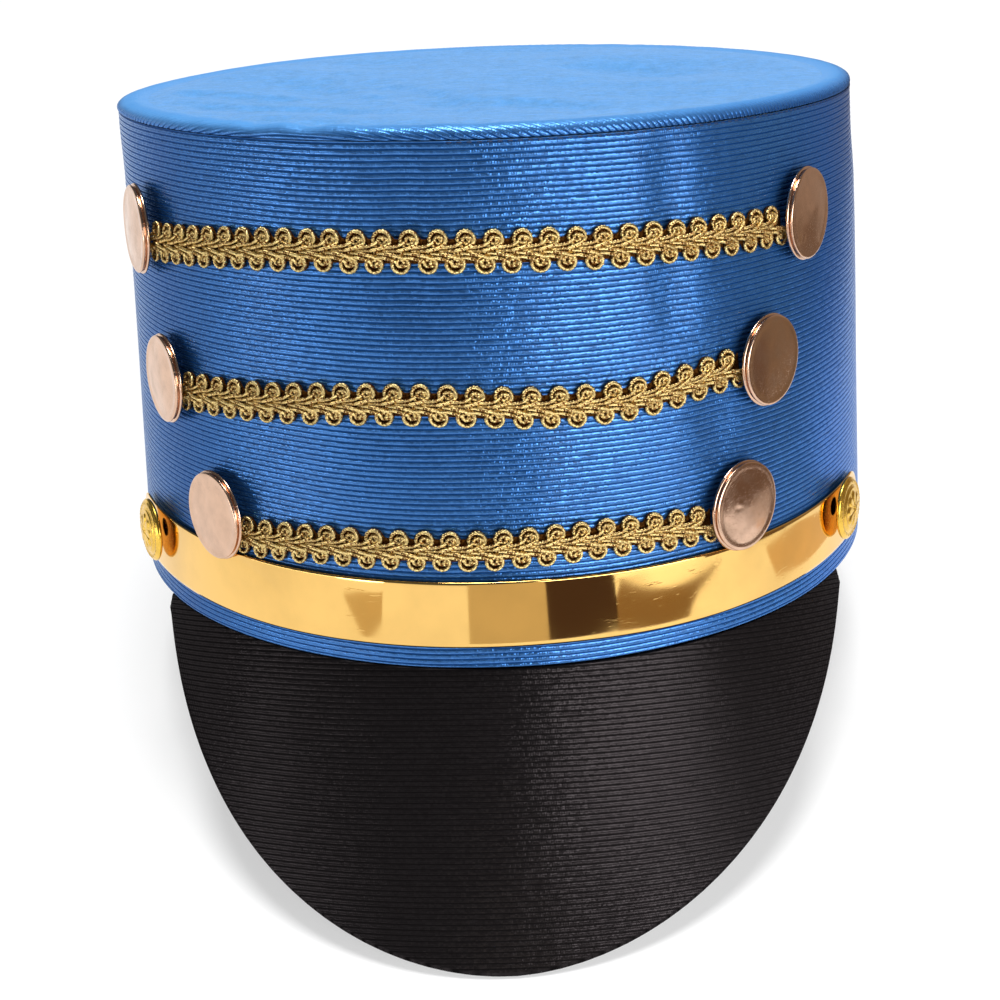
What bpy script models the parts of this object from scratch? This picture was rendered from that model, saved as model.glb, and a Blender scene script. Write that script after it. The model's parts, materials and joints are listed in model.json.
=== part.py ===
"""Drum major hat: a stiff oval crown of ribbed satin with a flat padded top, three rows of gold
braid between flat buttons, a gold strap with a button at each end, and a steep black peak.

Sizes are in metres and angles in degrees. The hat is first built level, with the lower plane of its
rim at height 0 and its front facing -Y. It is then laid back on the edge of its peak and the heel of
its rim, as it rests by itself. "Left" is the side at -X, seen from in front.
"""
from collections import namedtuple
from math import atan2, cos, degrees, pi, radians, sin

import bmesh
import bpy
from mathutils import Matrix, Vector

# Crown: half sizes of the oval at the rim and at the seam under the top, and how far the seam stands
# sideways of the rim
RIM_HALF_WIDTH = 0.0890
RIM_HALF_DEPTH = 0.1015
SEAM_HALF_WIDTH = 0.0855
SEAM_HALF_DEPTH = 0.1030
SEAM_HEIGHT = 0.1070
CROWN_LEAN = -0.0008
CROWN_WALL = 0.0025
CROWN_COLUMNS = 96

# Top: a padded disc whose cloth rolls over its edge down to the seam
TOP_THICKNESS = 0.0024
TOP_EDGE_RADIUS = 0.0022
TOP_EDGE_STEPS = 3
TOP_ROLL_WIDTH = 0.0060
TOP_DISH = 0.0004

# Peak: one stiff sheet, folded under the rim and up inside the crown
PEAK_LENGTH = 0.0625
PEAK_CORNER_LENGTH = 0.0029
PEAK_THICKNESS = 0.0020
PEAK_SLOPE = 74.0
PEAK_HALF_SPAN = 59.0
PEAK_TURN = 4.0
PEAK_FULLNESS = 1.83
PEAK_SKEW = -0.07
PEAK_INSET = 0.0006
PEAK_TUCK = 0.0070
PEAK_COLUMNS = 48

# Strap: a ribbon of gold plastic round the front, just above the rim
STRAP_WIDTH = 0.0141
STRAP_THICKNESS = 0.0006
STRAP_RISE = 0.0051
STRAP_END = 0.0165
STRAP_END_LIFT = 0.0022
STRAP_LIFT_POWER = 4
STRAP_ROUND_TURN = 80.0
STRAP_COLUMNS = 56
STRAP_ARC_COLUMNS = 5

# Braid: a woven band with a scroll at every pitch along both edges
BRAID_WIDTH = 0.0088
BRAID_THICKNESS = 0.0009
BRAID_RIDGE = 0.0004
SCROLL_PITCH = 0.0053
SCALLOP_DEPTH = 0.0009
SCROLL_STAGGER = 0.42
COLUMNS_PER_SCROLL = 4
BRAID_TUCK = 0.0020

# Flat buttons over the ends of the braid, each leaning outwards on its shank
BUTTON_DIAMETER = 0.0192
BUTTON_THICKNESS = 0.0020
BUTTON_LEAN = 4.5
BUTTON_SHANK_DIAMETER = 0.0040
BUTTON_SHANK_LENGTH = 0.0009

# Smaller buttons that pin the strap
SIDE_BUTTON_DIAMETER = 0.0142
SIDE_BUTTON_THICKNESS = 0.0021
SIDE_BUTTON_RISE = 0.0155
SIDE_SHANK_DIAMETER = 0.0050
SIDE_SHANK_LENGTH = 0.0011
SIDE_LEFT_ANGLE = -56.2
SIDE_RIGHT_ANGLE = 62.5

# Turned pieces: the flats round each, and how close points must lie to be one
TURNING_STEPS = 24
MERGE_DISTANCE = 0.00001

# Clear space between pieces that touch on the real hat
SEAT_GAP = 0.0003

# The two buttons of each row: the angles are counted from the front, where 90 is the side at +X,
# and the heights are shares of the wall above the strap, as level() reads them
ButtonPair = namedtuple("ButtonPair", "left_angle left_share right_angle right_share")
BUTTON_PAIRS = {
    "upper": ButtonPair(-53.9, 0.730, 51.9, 0.739),
    "middle": ButtonPair(-48.0, 0.359, 43.3, 0.401),
    "lower": ButtonPair(-37.5, 0.039, 38.0, 0.047),
}

# The hand-sewn lie of each braid: the height of its middle line, as a share of the wall above the
# strap, at its left end, a quarter, a half and three quarters of its way, and its right end
BraidLie = namedtuple("BraidLie", "left_end near_left middle near_right right_end")
BRAID_LIES = {
    "upper": BraidLie(0.709, 0.740, 0.748, 0.736, 0.723),
    "middle": BraidLie(0.341, 0.370, 0.386, 0.366, 0.401),
    "lower": BraidLie(0.000, 0.020, 0.023, 0.032, 0.019),
}

# Turned sections, from the middle of the face outwards and down to the back: shares of the radius
# and of the thickness
TurnedPoint = namedtuple("TurnedPoint", "radius_share height_share")
BUTTON_SECTION = (
    TurnedPoint(0.00, 1.00),
    TurnedPoint(0.72, 0.93),
    TurnedPoint(0.90, 0.84),
    TurnedPoint(0.97, 0.70),
    TurnedPoint(1.00, 0.48),
    TurnedPoint(0.98, 0.24),
    TurnedPoint(0.92, 0.00),
)
SIDE_BUTTON_SECTION = (
    TurnedPoint(0.00, 1.00),
    TurnedPoint(0.45, 0.94),
    TurnedPoint(0.78, 0.72),
    TurnedPoint(0.84, 0.60),
    TurnedPoint(0.90, 0.66),
    TurnedPoint(0.98, 0.50),
    TurnedPoint(1.00, 0.26),
    TurnedPoint(0.94, 0.00),
)

Finish = namedtuple("Finish", "colour roughness metallic")
FINISHES = {
    "blue_satin": Finish((0.026, 0.115, 0.376), 0.42, 0.0),
    "blue_satin_top": Finish((0.110, 0.330, 0.760), 0.50, 0.0),
    "black_satin": Finish((0.010, 0.009, 0.009), 0.45, 0.0),
    "gold_foil": Finish((0.900, 0.600, 0.200), 0.08, 1.0),
    "gold_braid": Finish((0.580, 0.350, 0.080), 0.40, 0.8),
    "rose_gold": Finish((0.780, 0.530, 0.400), 0.14, 1.0),
    "yellow_gold": Finish((0.800, 0.480, 0.080), 0.25, 1.0),
}


def clear_scene():
    """Take out whatever the open file holds."""
    for item in list(bpy.data.objects):
        bpy.data.objects.remove(item, do_unlink=True)


def make_finish(name):
    """Return the plain material of one finish, making it the first time."""
    material = bpy.data.materials.get(name)
    if material is None:
        finish = FINISHES[name]
        material = bpy.data.materials.new(name)
        material.use_nodes = True
        shader = material.node_tree.nodes["Principled BSDF"]
        shader.inputs["Base Color"].default_value = (*finish.colour, 1.0)
        shader.inputs["Roughness"].default_value = finish.roughness
        shader.inputs["Metallic"].default_value = finish.metallic
    return material


def level(share):
    """Return a height on the wall above the strap: 0 is a braid that just clears it, 1 is the seam."""
    lowest = STRAP_RISE + STRAP_WIDTH + SEAT_GAP + BRAID_WIDTH / 2.0
    return lowest + (SEAM_HEIGHT - lowest) * share


def crown_point(angle, height, offset=0.0):
    """Return the point of the crown's outer face at an oval angle and height, moved out by offset."""
    share = height / SEAM_HEIGHT
    half_width = RIM_HALF_WIDTH + (SEAM_HALF_WIDTH - RIM_HALF_WIDTH) * share
    half_depth = RIM_HALF_DEPTH + (SEAM_HALF_DEPTH - RIM_HALF_DEPTH) * share
    turn = radians(angle)
    outward = Vector((sin(turn) / half_width, -cos(turn) / half_depth, 0.0)).normalized()
    on_face = Vector((half_width * sin(turn) + CROWN_LEAN * share, -half_depth * cos(turn), height))
    return on_face + outward * offset


def crown_frame(angle, height, offset, lean=0.0):
    """Return the matrix of a piece that stands on the crown's face, its own Z pointing out.

    Z is square to the face, or leans this many degrees away from the crown's front.
    """
    step = 0.5
    along = crown_point(angle + step, height) - crown_point(angle - step, height)
    upward = crown_point(angle, height + TOP_THICKNESS) - crown_point(angle, height)
    outward = along.cross(upward).normalized()
    along.normalize()
    turned = Matrix((along, outward.cross(along), outward)).transposed()
    seat = crown_point(angle, height) + outward * offset
    sideways = Matrix.Rotation(radians(lean if angle > 0.0 else -lean), 4, "Y")
    return Matrix.Translation(seat) @ turned.to_4x4() @ sideways


def arc_stations(height):
    """Return a closely spaced table of (arc length from the front, angle), from the back to the back."""
    steps = 360
    table = []
    length = 0.0
    last = crown_point(-180.0, height)
    for index in range(2 * steps + 1):
        angle = 180.0 * (index / steps - 1.0)
        here = crown_point(angle, height)
        length += (here - last).length
        table.append((length, angle))
        last = here
    middle = table[steps][0]
    return [(station - middle, angle) for station, angle in table]


def arc_at(angle, table):
    """Return the arc length from the front to an angle."""
    for (start, low), (end, high) in zip(table, table[1:]):
        if low <= angle <= high:
            return start + (end - start) * (angle - low) / (high - low)
    raise ValueError("the angle is past the crown's back")


def angle_at(arc, table):
    """Return the angle at an arc length from the front."""
    for (start, low), (end, high) in zip(table, table[1:]):
        if start <= arc <= end:
            return low + (high - low) * (arc - start) / (end - start)
    raise ValueError("the arc is longer than half way round the crown")


def new_piece(name, mesh, finish, collection, rest):
    """Put a mesh in the collection as a named piece that follows the rest empty."""
    piece = bpy.data.objects.new(name, mesh)
    collection.objects.link(piece)
    piece.parent = rest
    if not mesh.materials:
        mesh.materials.append(make_finish(finish))
    return piece


def bent_grid(name, columns, rows, place):
    """Return a mesh of a flat grid whose corners are moved by place(column index, row index)."""
    shape = bmesh.new()
    bmesh.ops.create_grid(shape, x_segments=columns, y_segments=rows, size=1.0)
    for corner in shape.verts:
        column = round((corner.co.x + 1.0) / 2.0 * columns)
        row = round((corner.co.y + 1.0) / 2.0 * rows)
        corner.co = place(column, row)
    mesh = bpy.data.meshes.new(name)
    shape.to_mesh(mesh)
    shape.free()
    return mesh


def thicken(piece, thickness):
    """Give an open sheet its thickness, behind its face."""
    solidify = piece.modifiers.new("thickness", "SOLIDIFY")
    solidify.thickness = thickness
    solidify.offset = -1.0
    solidify.use_even_offset = True


def make_crown_side(collection, rest):
    """The oval tube of the crown, from the rim to just under the top."""
    shape = bmesh.new()
    bmesh.ops.create_cone(shape, segments=CROWN_COLUMNS, radius1=1.0, radius2=1.0, depth=1.0,
                          cap_ends=False)
    top = SEAM_HEIGHT - SEAT_GAP
    for corner in shape.verts:
        angle = degrees(atan2(corner.co.x, -corner.co.y))
        corner.co = crown_point(angle, top * (corner.co.z + 0.5))
    mesh = bpy.data.meshes.new("crown_side")
    shape.to_mesh(mesh)
    shape.free()
    mesh.shade_smooth()
    piece = new_piece("crown_side", mesh, "blue_satin", collection, rest)
    thicken(piece, CROWN_WALL)
    return piece


def make_crown_top(collection, rest):
    """The padded disc on the crown, with a rolled edge round a flat middle."""
    shape = bmesh.new()
    bmesh.ops.create_cone(shape, segments=CROWN_COLUMNS, radius1=1.0, radius2=1.0, depth=1.0,
                          cap_ends=True)
    for corner in shape.verts:
        angle = degrees(atan2(corner.co.x, -corner.co.y))
        above = corner.co.z + 0.5
        corner.co = crown_point(angle, SEAM_HEIGHT)
        corner.co.z += TOP_THICKNESS * above
    upper = SEAM_HEIGHT + TOP_THICKNESS / 2.0
    edge = [line for line in shape.edges if min(corner.co.z for corner in line.verts) > upper]
    bmesh.ops.bevel(shape, geom=edge, offset=TOP_EDGE_RADIUS, segments=TOP_EDGE_STEPS, profile=0.5,
                    affect="EDGES", clamp_overlap=True)
    lid = max(shape.faces, key=lambda face: (len(face.verts), face.calc_center_median().z))
    bmesh.ops.inset_region(shape, faces=[lid], thickness=TOP_ROLL_WIDTH, depth=-TOP_DISH)
    mesh = bpy.data.meshes.new("crown_top")
    shape.to_mesh(mesh)
    shape.free()
    return new_piece("crown_top", mesh, "blue_satin_top", collection, rest)


def peak_section(share):
    """Return the peak's outer line as (offset from the crown's face, height), tuck to free edge.

    share runs from -1 at the left corner to 1 at the right corner.
    """
    fullness = (1.0 - abs(share) ** PEAK_FULLNESS) * (1.0 + PEAK_SKEW * share)
    length = PEAK_CORNER_LENGTH + (PEAK_LENGTH - PEAK_CORNER_LENGTH) * fullness
    inside = -(CROWN_WALL + SEAT_GAP)
    slope = radians(PEAK_SLOPE)
    return (
        (inside, PEAK_TUCK),
        (inside, -SEAT_GAP),
        (-PEAK_INSET, -SEAT_GAP),
        (-PEAK_INSET + length * cos(slope), -SEAT_GAP - length * sin(slope)),
    )


def make_peak(collection, rest):
    """The steep sheet in front, tucked in under the rim."""
    def place(column, row):
        share = 2.0 * column / PEAK_COLUMNS - 1.0
        offset, height = peak_section(share)[3 - row]
        point = crown_point(PEAK_TURN + PEAK_HALF_SPAN * share, 0.0, offset)
        point.z = height
        return point

    mesh = bent_grid("peak", PEAK_COLUMNS, 3, place)
    piece = new_piece("peak", mesh, "black_satin", collection, rest)
    thicken(piece, PEAK_THICKNESS)
    return piece


def strap_stations(start, end):
    """Return (arc length, share of the strap's half width) along the strap, round at both ends."""
    radius = STRAP_WIDTH / 2.0
    turns = [STRAP_ROUND_TURN * index / STRAP_ARC_COLUMNS
             for index in range(STRAP_ARC_COLUMNS, 0, -1)]
    stations = [(start + radius * (1.0 - sin(radians(turn))), cos(radians(turn))) for turn in turns]
    straight = end - start - 2.0 * radius
    for index in range(STRAP_COLUMNS + 1):
        stations.append((start + radius + straight * index / STRAP_COLUMNS, 1.0))
    for turn in reversed(turns):
        stations.append((end - radius * (1.0 - sin(radians(turn))), cos(radians(turn))))
    return stations


def make_strap(collection, rest):
    """The gold ribbon between the two side buttons, round at its ends."""
    middle = STRAP_RISE + STRAP_WIDTH / 2.0
    table = arc_stations(middle)
    start = arc_at(SIDE_LEFT_ANGLE, table) - STRAP_END
    end = arc_at(SIDE_RIGHT_ANGLE, table) + STRAP_END
    stations = strap_stations(start, end)
    face = SEAT_GAP + STRAP_THICKNESS

    def place(column, row):
        arc, share = stations[column]
        lift = STRAP_END_LIFT * abs(2.0 * (arc - start) / (end - start) - 1.0) ** STRAP_LIFT_POWER
        height = middle + lift + (row - 0.5) * STRAP_WIDTH * share
        return crown_point(angle_at(arc, table), height, face)

    mesh = bent_grid("strap", len(stations) - 1, 1, place)
    mesh.shade_smooth()
    piece = new_piece("strap", mesh, "gold_foil", collection, rest)
    thicken(piece, STRAP_THICKNESS)
    return piece


def braid_height(lie, way):
    """Return the height of a braid's middle line, way running from 0 at its left end to 1."""
    index = min(int(way * (len(lie) - 1)), len(lie) - 2)
    ahead = way * (len(lie) - 1) - index
    before, low, high, after = (lie[max(index - 1, 0)], lie[index], lie[index + 1],
                                lie[min(index + 2, len(lie) - 1)])
    rise_low = (high - before) / 2.0
    rise_high = (after - low) / 2.0
    share = (low * (2 * ahead ** 3 - 3 * ahead ** 2 + 1) + rise_low * (ahead ** 3 - 2 * ahead ** 2 + ahead)
             + high * (3 * ahead ** 2 - 2 * ahead ** 3) + rise_high * (ahead ** 3 - ahead ** 2))
    return level(share)


def make_braid(name, collection, rest):
    """One woven band from button to button, with scalloped edges and a raised middle."""
    pair = BUTTON_PAIRS[name]
    lie = BRAID_LIES[name]
    table = arc_stations(braid_height(lie, 0.5))
    under_button = BUTTON_DIAMETER / 2.0 - BRAID_TUCK
    start = arc_at(pair.left_angle, table) + under_button
    end = arc_at(pair.right_angle, table) - under_button
    scrolls = max(1, round((end - start) / SCROLL_PITCH))
    columns = scrolls * COLUMNS_PER_SCROLL
    edge_face = SEAT_GAP + BRAID_THICKNESS

    def place(column, line):
        side = line - 1
        turn = column / COLUMNS_PER_SCROLL + (SCROLL_STAGGER if side < 0 else 0.0)
        half_width = BRAID_WIDTH / 2.0 - SCALLOP_DEPTH * (0.5 + 0.5 * cos(2.0 * pi * turn))
        angle = angle_at(start + (end - start) * column / columns, table)
        height = braid_height(lie, column / columns) + side * half_width
        return crown_point(angle, height, edge_face + BRAID_RIDGE * (1 - abs(side)))

    mesh = bent_grid("braid_" + name, columns, 2, place)
    piece = new_piece("braid_" + name, mesh, "gold_braid", collection, rest)
    thicken(piece, BRAID_THICKNESS)
    return piece


def turned_section(name, section, diameter, thickness, shank_diameter, shank_length):
    """Return the half section of a button and its shank, from the face's middle to the shank's foot."""
    points = [(point.radius_share * diameter / 2.0, point.height_share * thickness + shank_length)
              for point in section]
    points.append((shank_diameter / 2.0, shank_length))
    points.append((shank_diameter / 2.0, 0.0))
    points.append((0.0, 0.0))
    mesh = bpy.data.meshes.new(name)
    lines = [(index, index + 1) for index in range(len(points) - 1)]
    mesh.from_pydata([(radius, 0.0, height) for radius, height in points], lines, [])
    return mesh


def place_button(name, section, finish, seat, collection, rest):
    """Turn a button's half section into a solid that stands on the crown at its seat."""
    piece = new_piece(name, section, finish, collection, rest)
    piece.matrix_local = seat
    screw = piece.modifiers.new("turning", "SCREW")
    screw.steps = TURNING_STEPS
    screw.render_steps = TURNING_STEPS
    screw.use_merge_vertices = True
    screw.merge_threshold = MERGE_DISTANCE
    screw.use_smooth_shade = True
    return piece


def make_braid_buttons(collection, rest):
    """Two flat buttons for each row of braid."""
    section = turned_section("button", BUTTON_SECTION, BUTTON_DIAMETER, BUTTON_THICKNESS,
                             BUTTON_SHANK_DIAMETER, BUTTON_SHANK_LENGTH)
    foot_offset = SEAT_GAP + BUTTON_SHANK_DIAMETER / 2.0 * sin(radians(BUTTON_LEAN))
    pieces = []
    for row, pair in BUTTON_PAIRS.items():
        for side, angle, share in (("left", pair.left_angle, pair.left_share),
                                   ("right", pair.right_angle, pair.right_share)):
            seat = crown_frame(angle, level(share), foot_offset, BUTTON_LEAN)
            pieces.append(place_button("button_" + row + "_" + side, section, "rose_gold", seat,
                                       collection, rest))
    return pieces


def make_side_buttons(collection, rest):
    """The two smaller buttons, each on one end of the strap."""
    section = turned_section("side_button", SIDE_BUTTON_SECTION, SIDE_BUTTON_DIAMETER,
                             SIDE_BUTTON_THICKNESS, SIDE_SHANK_DIAMETER, SIDE_SHANK_LENGTH)
    on_strap = STRAP_THICKNESS + 2.0 * SEAT_GAP
    pieces = []
    for side, angle in (("left", SIDE_LEFT_ANGLE), ("right", SIDE_RIGHT_ANGLE)):
        seat = crown_frame(angle, SIDE_BUTTON_RISE, on_strap)
        pieces.append(place_button("side_button_" + side, section, "yellow_gold", seat,
                                   collection, rest))
    return pieces


def world_points(piece):
    """Return the corners of a finished piece where it stands."""
    finished = piece.evaluated_get(bpy.context.evaluated_depsgraph_get())
    return [finished.matrix_world @ corner.co for corner in finished.data.vertices]


def lay_back(rest, pieces):
    """Lay the level hat back on the edge of its peak and the heel of its rim, over the origin."""
    heel = crown_point(180.0, 0.0)
    bpy.context.view_layer.update()
    peak_corners = world_points(bpy.data.objects["peak"])
    tilt = max(atan2(heel.z - corner.z, heel.y - corner.y) for corner in peak_corners)
    rest.rotation_euler.x = -tilt
    bpy.context.view_layer.update()
    corners = [corner for piece in pieces for corner in world_points(piece)]
    lowest = min(corner.z for corner in corners)
    across = [corner.x for corner in corners]
    along = [corner.y for corner in corners]
    rest.location = (-(min(across) + max(across)) / 2.0, -(min(along) + max(along)) / 2.0, -lowest)
    bpy.context.view_layer.update()


def main():
    clear_scene()
    collection = bpy.data.collections.new("drum_major_hat")
    bpy.context.scene.collection.children.link(collection)
    rest = bpy.data.objects.new("rest", None)
    collection.objects.link(rest)
    pieces = [
        make_crown_side(collection, rest),
        make_crown_top(collection, rest),
        make_peak(collection, rest),
        make_strap(collection, rest),
    ]
    pieces += [make_braid(name, collection, rest) for name in BRAID_LIES]
    pieces += make_braid_buttons(collection, rest)
    pieces += make_side_buttons(collection, rest)
    lay_back(rest, pieces)


main()
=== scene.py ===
"""Looks of a drum major hat: ribbed satin, gold scroll braid, a mirror strap, buttons and a black peak.

Lengths are in metres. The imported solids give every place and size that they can. Each piece is shaped
on the level hat, whose rim plane is at height 0 and whose front faces -Y, and is then laid back as the
hat rests. "Left" is the side at -X, seen from in front. Round the crown, an angle is counted from the
front, a half turn to either side, and an arc is the length along the cloth from the front.
"""
import json
from collections import namedtuple
from math import pi, radians, tau

import bmesh
import bpy
import numpy as np
from bpy.props import FloatProperty, FloatVectorProperty, IntProperty, PointerProperty
from mathutils import Matrix, Vector


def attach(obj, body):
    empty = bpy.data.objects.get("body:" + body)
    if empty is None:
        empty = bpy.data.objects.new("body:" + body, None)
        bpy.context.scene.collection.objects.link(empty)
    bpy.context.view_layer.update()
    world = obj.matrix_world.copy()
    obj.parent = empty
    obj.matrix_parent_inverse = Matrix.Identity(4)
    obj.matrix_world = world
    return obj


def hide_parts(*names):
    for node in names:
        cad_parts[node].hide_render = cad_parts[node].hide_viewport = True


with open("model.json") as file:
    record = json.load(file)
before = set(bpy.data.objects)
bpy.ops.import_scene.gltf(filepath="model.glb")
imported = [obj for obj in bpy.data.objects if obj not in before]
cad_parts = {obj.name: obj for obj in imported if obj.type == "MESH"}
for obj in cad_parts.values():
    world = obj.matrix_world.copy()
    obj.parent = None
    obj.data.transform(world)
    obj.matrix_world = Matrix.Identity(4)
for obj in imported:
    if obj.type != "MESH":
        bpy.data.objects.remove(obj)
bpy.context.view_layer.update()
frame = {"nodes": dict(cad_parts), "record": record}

bl_info = {
    "name": "Drum Major Hat",
    "version": (1, 0, 0),
    "blender": (4, 5, 0),
    "location": "View3D > Sidebar > Hat",
    "description": "Makes the satin, braid, strap, buttons and peak of a drum major hat",
    "category": "Object",
}

BODY = "root"
CLOTH_MAP = "cloth"
# How flat the roll's cloth lies, which sets how much of the top's painted light it takes
FLATNESS = "flatness"

# A gap too thin to see, and the height of the slice in which an edge of a solid is looked for
TINY = 0.00002
RING_HEIGHT = 0.001

# How far the satin reaches past the peak's board, and past its two corners round the crown
PEAK_EDGE = 0.0005
PEAK_SIDE_LEFT = radians(0.3)
PEAK_SIDE_RIGHT = radians(0.6)

# Steps of the meshes
CROWN_COLUMNS = 200
ROWS_PER_RIB = 4
ROLL_COLUMNS = 2160
ROLL_ROWS = 20
TOP_COLUMNS = 432
TOP_ROWS = 90
LINING_COLUMNS = 144
PEAK_COLUMNS = 220
STRAP_COLUMNS = 420
STRAP_ROWS = 31
CORD_SIDES = 6
BUTTON_TURNS = 112
BRAID_BUTTON_ROWS = 60
SIDE_BUTTON_ROWS = 70

# Steps along a cord's way: up to its ring, round the ring and winding in, and along the thinner strand
RISE_STEPS = 44
RING_STEPS = 66
COIL_STEPS = 50
STRAND_STEPS = 34

# Soft waves in the crown's board: where each lies, in degrees from the front, how low and how high it
# reaches as shares of the crown's height, half its width in degrees, and its depth
Wave = namedtuple("Wave", "angle low high half_width depth")
CROWN_WAVES = (
    Wave(-6.5, 0.62, 1.05, 2.1, -0.00095),
    Wave(28.5, 0.55, 1.05, 2.6, -0.00085),
    Wave(35.0, 0.30, 0.62, 2.8, -0.00075),
    Wave(2.0, -0.10, 0.55, 7.0, -0.00050),
    Wave(-28.0, 0.20, 0.80, 8.0, -0.00040),
    Wave(-98.0, -0.30, 1.30, 38.0, -0.00080),
    Wave(-80.0, 0.86, 1.20, 16.0, 0.00050),
    Wave(84.0, 0.80, 1.20, 24.0, -0.00040),
)

# How softly a wave ends, as a share of the crown's height, and how uneven the rest of the board is
WAVE_END = 0.12
WALL_UNEVENNESS = 0.00018

# A crease runs from its start to its end and spreads so far to each side
Crease = namedtuple("Crease", "start end spread depth")

# Creases in the top's cloth, their ends as shares of the seam's half width and half depth
TOP_CREASES = (
    Crease((-0.30, -0.10), (-0.02, -0.66), 0.0042, 0.00240),
    Crease((-0.56, -0.02), (-0.30, -0.40), 0.0048, 0.00180),
    Crease((-0.86, -0.20), (-0.40, -0.42), 0.0044, 0.00210),
    Crease((-0.74, -0.46), (-0.20, -0.70), 0.0040, 0.00190),
    Crease((-0.60, -0.30), (-0.10, -0.44), 0.0042, 0.00160),
    Crease((0.05, -0.55), (0.30, -0.72), 0.0056, 0.00170),
    Crease((0.20, 0.30), (0.55, -0.05), 0.0080, 0.00160),
)

# How far the top's cloth can sink before it lies on the board
TOP_GIVE = 0.0008

# The height of the flat top in its middle and where it meets the roll, as shares of the top's rise
TOP_LEVEL = 0.72
TOP_EDGE = 0.80

# The strap's creases, their ends by the arc and the share of the strap's width from below
STRAP_CREASES = (
    Crease((-0.0560, 0.98), (-0.0445, 0.66), 0.0010, 0.00012),
    Crease((-0.0270, 1.02), (-0.0190, 0.97), 0.0011, 0.00004),
)

# Softboxes round the hat: azimuth from the front to the right and elevation in degrees, the rest in
# metres and watts, and where they are aimed on the level hat
Softbox = namedtuple("Softbox", "name azimuth elevation distance width height power")
SOFTBOXES = (
    Softbox("light_right", 43.0, 14.0, 1.1, 1.00, 0.40, 8.4),
    Softbox("light_side", 82.0, 12.0, 1.1, 0.32, 0.34, 0.9),
    Softbox("light_left", -55.0, -1.9, 1.2, 1.00, 0.08, 1.5),
)
LIGHT_AIM = (0.0, 0.0, 0.09)

# The light overhead: its power, its azimuth and elevation, how far off it is drawn, and its spread,
# which softens its shadows
OVERHEAD_POWER = 3.4
OVERHEAD_PLACE = (180.0, 80.0, 2.0)
OVERHEAD_SPREAD = radians(24.0)

# The dim pale surround
SURROUND_COLOUR = (0.92, 0.96, 1.0)
SURROUND_POWER = 0.10

# The floor's radius, and how high over it the lying cards are
FLOOR_RADIUS = 8.0
CARD_LIFT = 0.0004

# Where the crown's ribs stand full, by the arc: from the first to the second they rise, from the third
# to the fourth they fall. Elsewhere they are pressed flatter, to a share of their height
FULL_RIBS = (-0.045, 0.002, 0.078, 0.096)
FLAT_RIBS = 0.45

# How much of the ribs and waves is left inside the rim and in the fold round it, and how far the crown's
# cloth runs on into the seam
INSIDE_RELIEF = 0.5
FOLD_RELIEF = 0.6
INTO_SEAM = 0.0002

# A rib looks like two cords side by side: how far painted shade darkens the groove between them, and how
# high they stand next to the fine threads over them
CORD_SHADE = 0.75
CORD_RELIEF = 1.5

# A stretch of the crown where the ribs pass into another blue, which is painted light: painted shade on the
# left and a bluer painted light on the right. It starts at one arc and is full at the other, and even there
# it keeps a little of the ribs' own blue
Side = namedtuple("Side", "start full colour")
PAINTED_SIDE_SHARE = 0.8

# How each satin shines; pressed is the painted shade between the crown's flatter ribs, and sides hold
# the painted light on the crown's two sides
CROWN_SATIN = {
    "metallic": 0.70, "roughness": 0.18, "dull": 0.62, "tint": (0.28, 0.57, 1.0), "coat": 0.24,
    "pressed": (0.004, 0.048, 0.205),
    "sides": (Side(-0.050, -0.074, (0.020, 0.078, 0.235)), Side(0.076, 0.100, (0.024, 0.135, 0.500))),
}
TOP_SATIN = {
    "glint": 0.15, "roughness": 0.46, "dull": 0.50, "tint": (0.75, 0.88, 1.0), "patchy": 0.32,
    "bump": 0.000005,
}
PEAK_SATIN = {
    "metallic": 0.62, "roughness": 0.20, "tint": (0.5, 0.5, 0.5), "gloss": 0.0, "tilt": 0.12,
    "bump": 0.000012,
}


def standing(start, end, foot, top):
    """Return the corners of a card that stands between two places, from one height to another."""
    return (*start, foot), (*end, foot), (*end, top), (*start, top)


def lying(*places):
    """Return the corners of a card that lies just over the floor."""
    return [(*place, CARD_LIFT) for place in places]


# Cards round the hat, which only its gloss shows: the light that each gives off, and its corners
Card = namedtuple("Card", "name colour corners")
CARDS = (
    Card("card_grey", (0.66, 0.58, 0.46), standing((-0.026, -0.400), (0.114, -0.384), 0.0, 0.090)),
    Card("card_dark", (0.067, 0.042, 0.039), standing((0.114, -0.384), (0.215, -0.331), 0.0, 0.090)),
    Card("card_brown", (0.26, 0.175, 0.11),
         lying((0.203, -0.315), (0.224, -0.370), (0.290, -0.404), (0.265, -0.125), (0.252, -0.169),
               (0.239, -0.179), (0.224, -0.180))),
    Card("card_left", (0.66, 0.55, 0.40),
         lying((-0.266, -0.328), (-0.263, -0.379), (-0.247, -0.450), (-0.203, -0.377), (-0.197, -0.342),
               (-0.193, -0.312), (-0.220, -0.319))),
    Card("card_amber", (0.80, 0.62, 0.44),
         lying((0.228, -0.059), (0.211, -0.014), (0.179, 0.012), (0.156, 0.012), (0.174, -0.020),
               (0.195, -0.052))),
    Card("card_front", (0.16, 0.11, 0.08), standing((0.245, -0.150), (0.222, -0.085), 0.020, 0.230)),
    Card("card_right", (0.16, 0.11, 0.08), standing((0.222, -0.085), (0.205, -0.035), 0.011, 0.230)),
    Card("card_side", (0.24, 0.18, 0.12), standing((0.205, -0.035), (0.188, 0.010), 0.014, 0.230)),
    Card("card_behind", (0.37, 0.29, 0.23), standing((0.188, 0.010), (0.150, 0.300), 0.024, 0.230)),
    Card("card_shade", (0.20, 0.14, 0.10), standing((0.158, 0.002), (0.143, 0.028), 0.062, 0.096)),
)

# How the braid's gold changes, part by part: painted shade where the thread lies deep and painted glints
# where it shines
THREAD_SHADE = (0.20, 0.08, 0.01)
THREAD_GLINT = (1.25, 1.42, 2.1)

# The radius of a scroll's ring and of the coil inside it, and the height of the ground under the cords
RING_RADIUS = 0.00162
COIL_RADIUS = 0.00066
GROUND_HEIGHT = 0.0003

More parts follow.
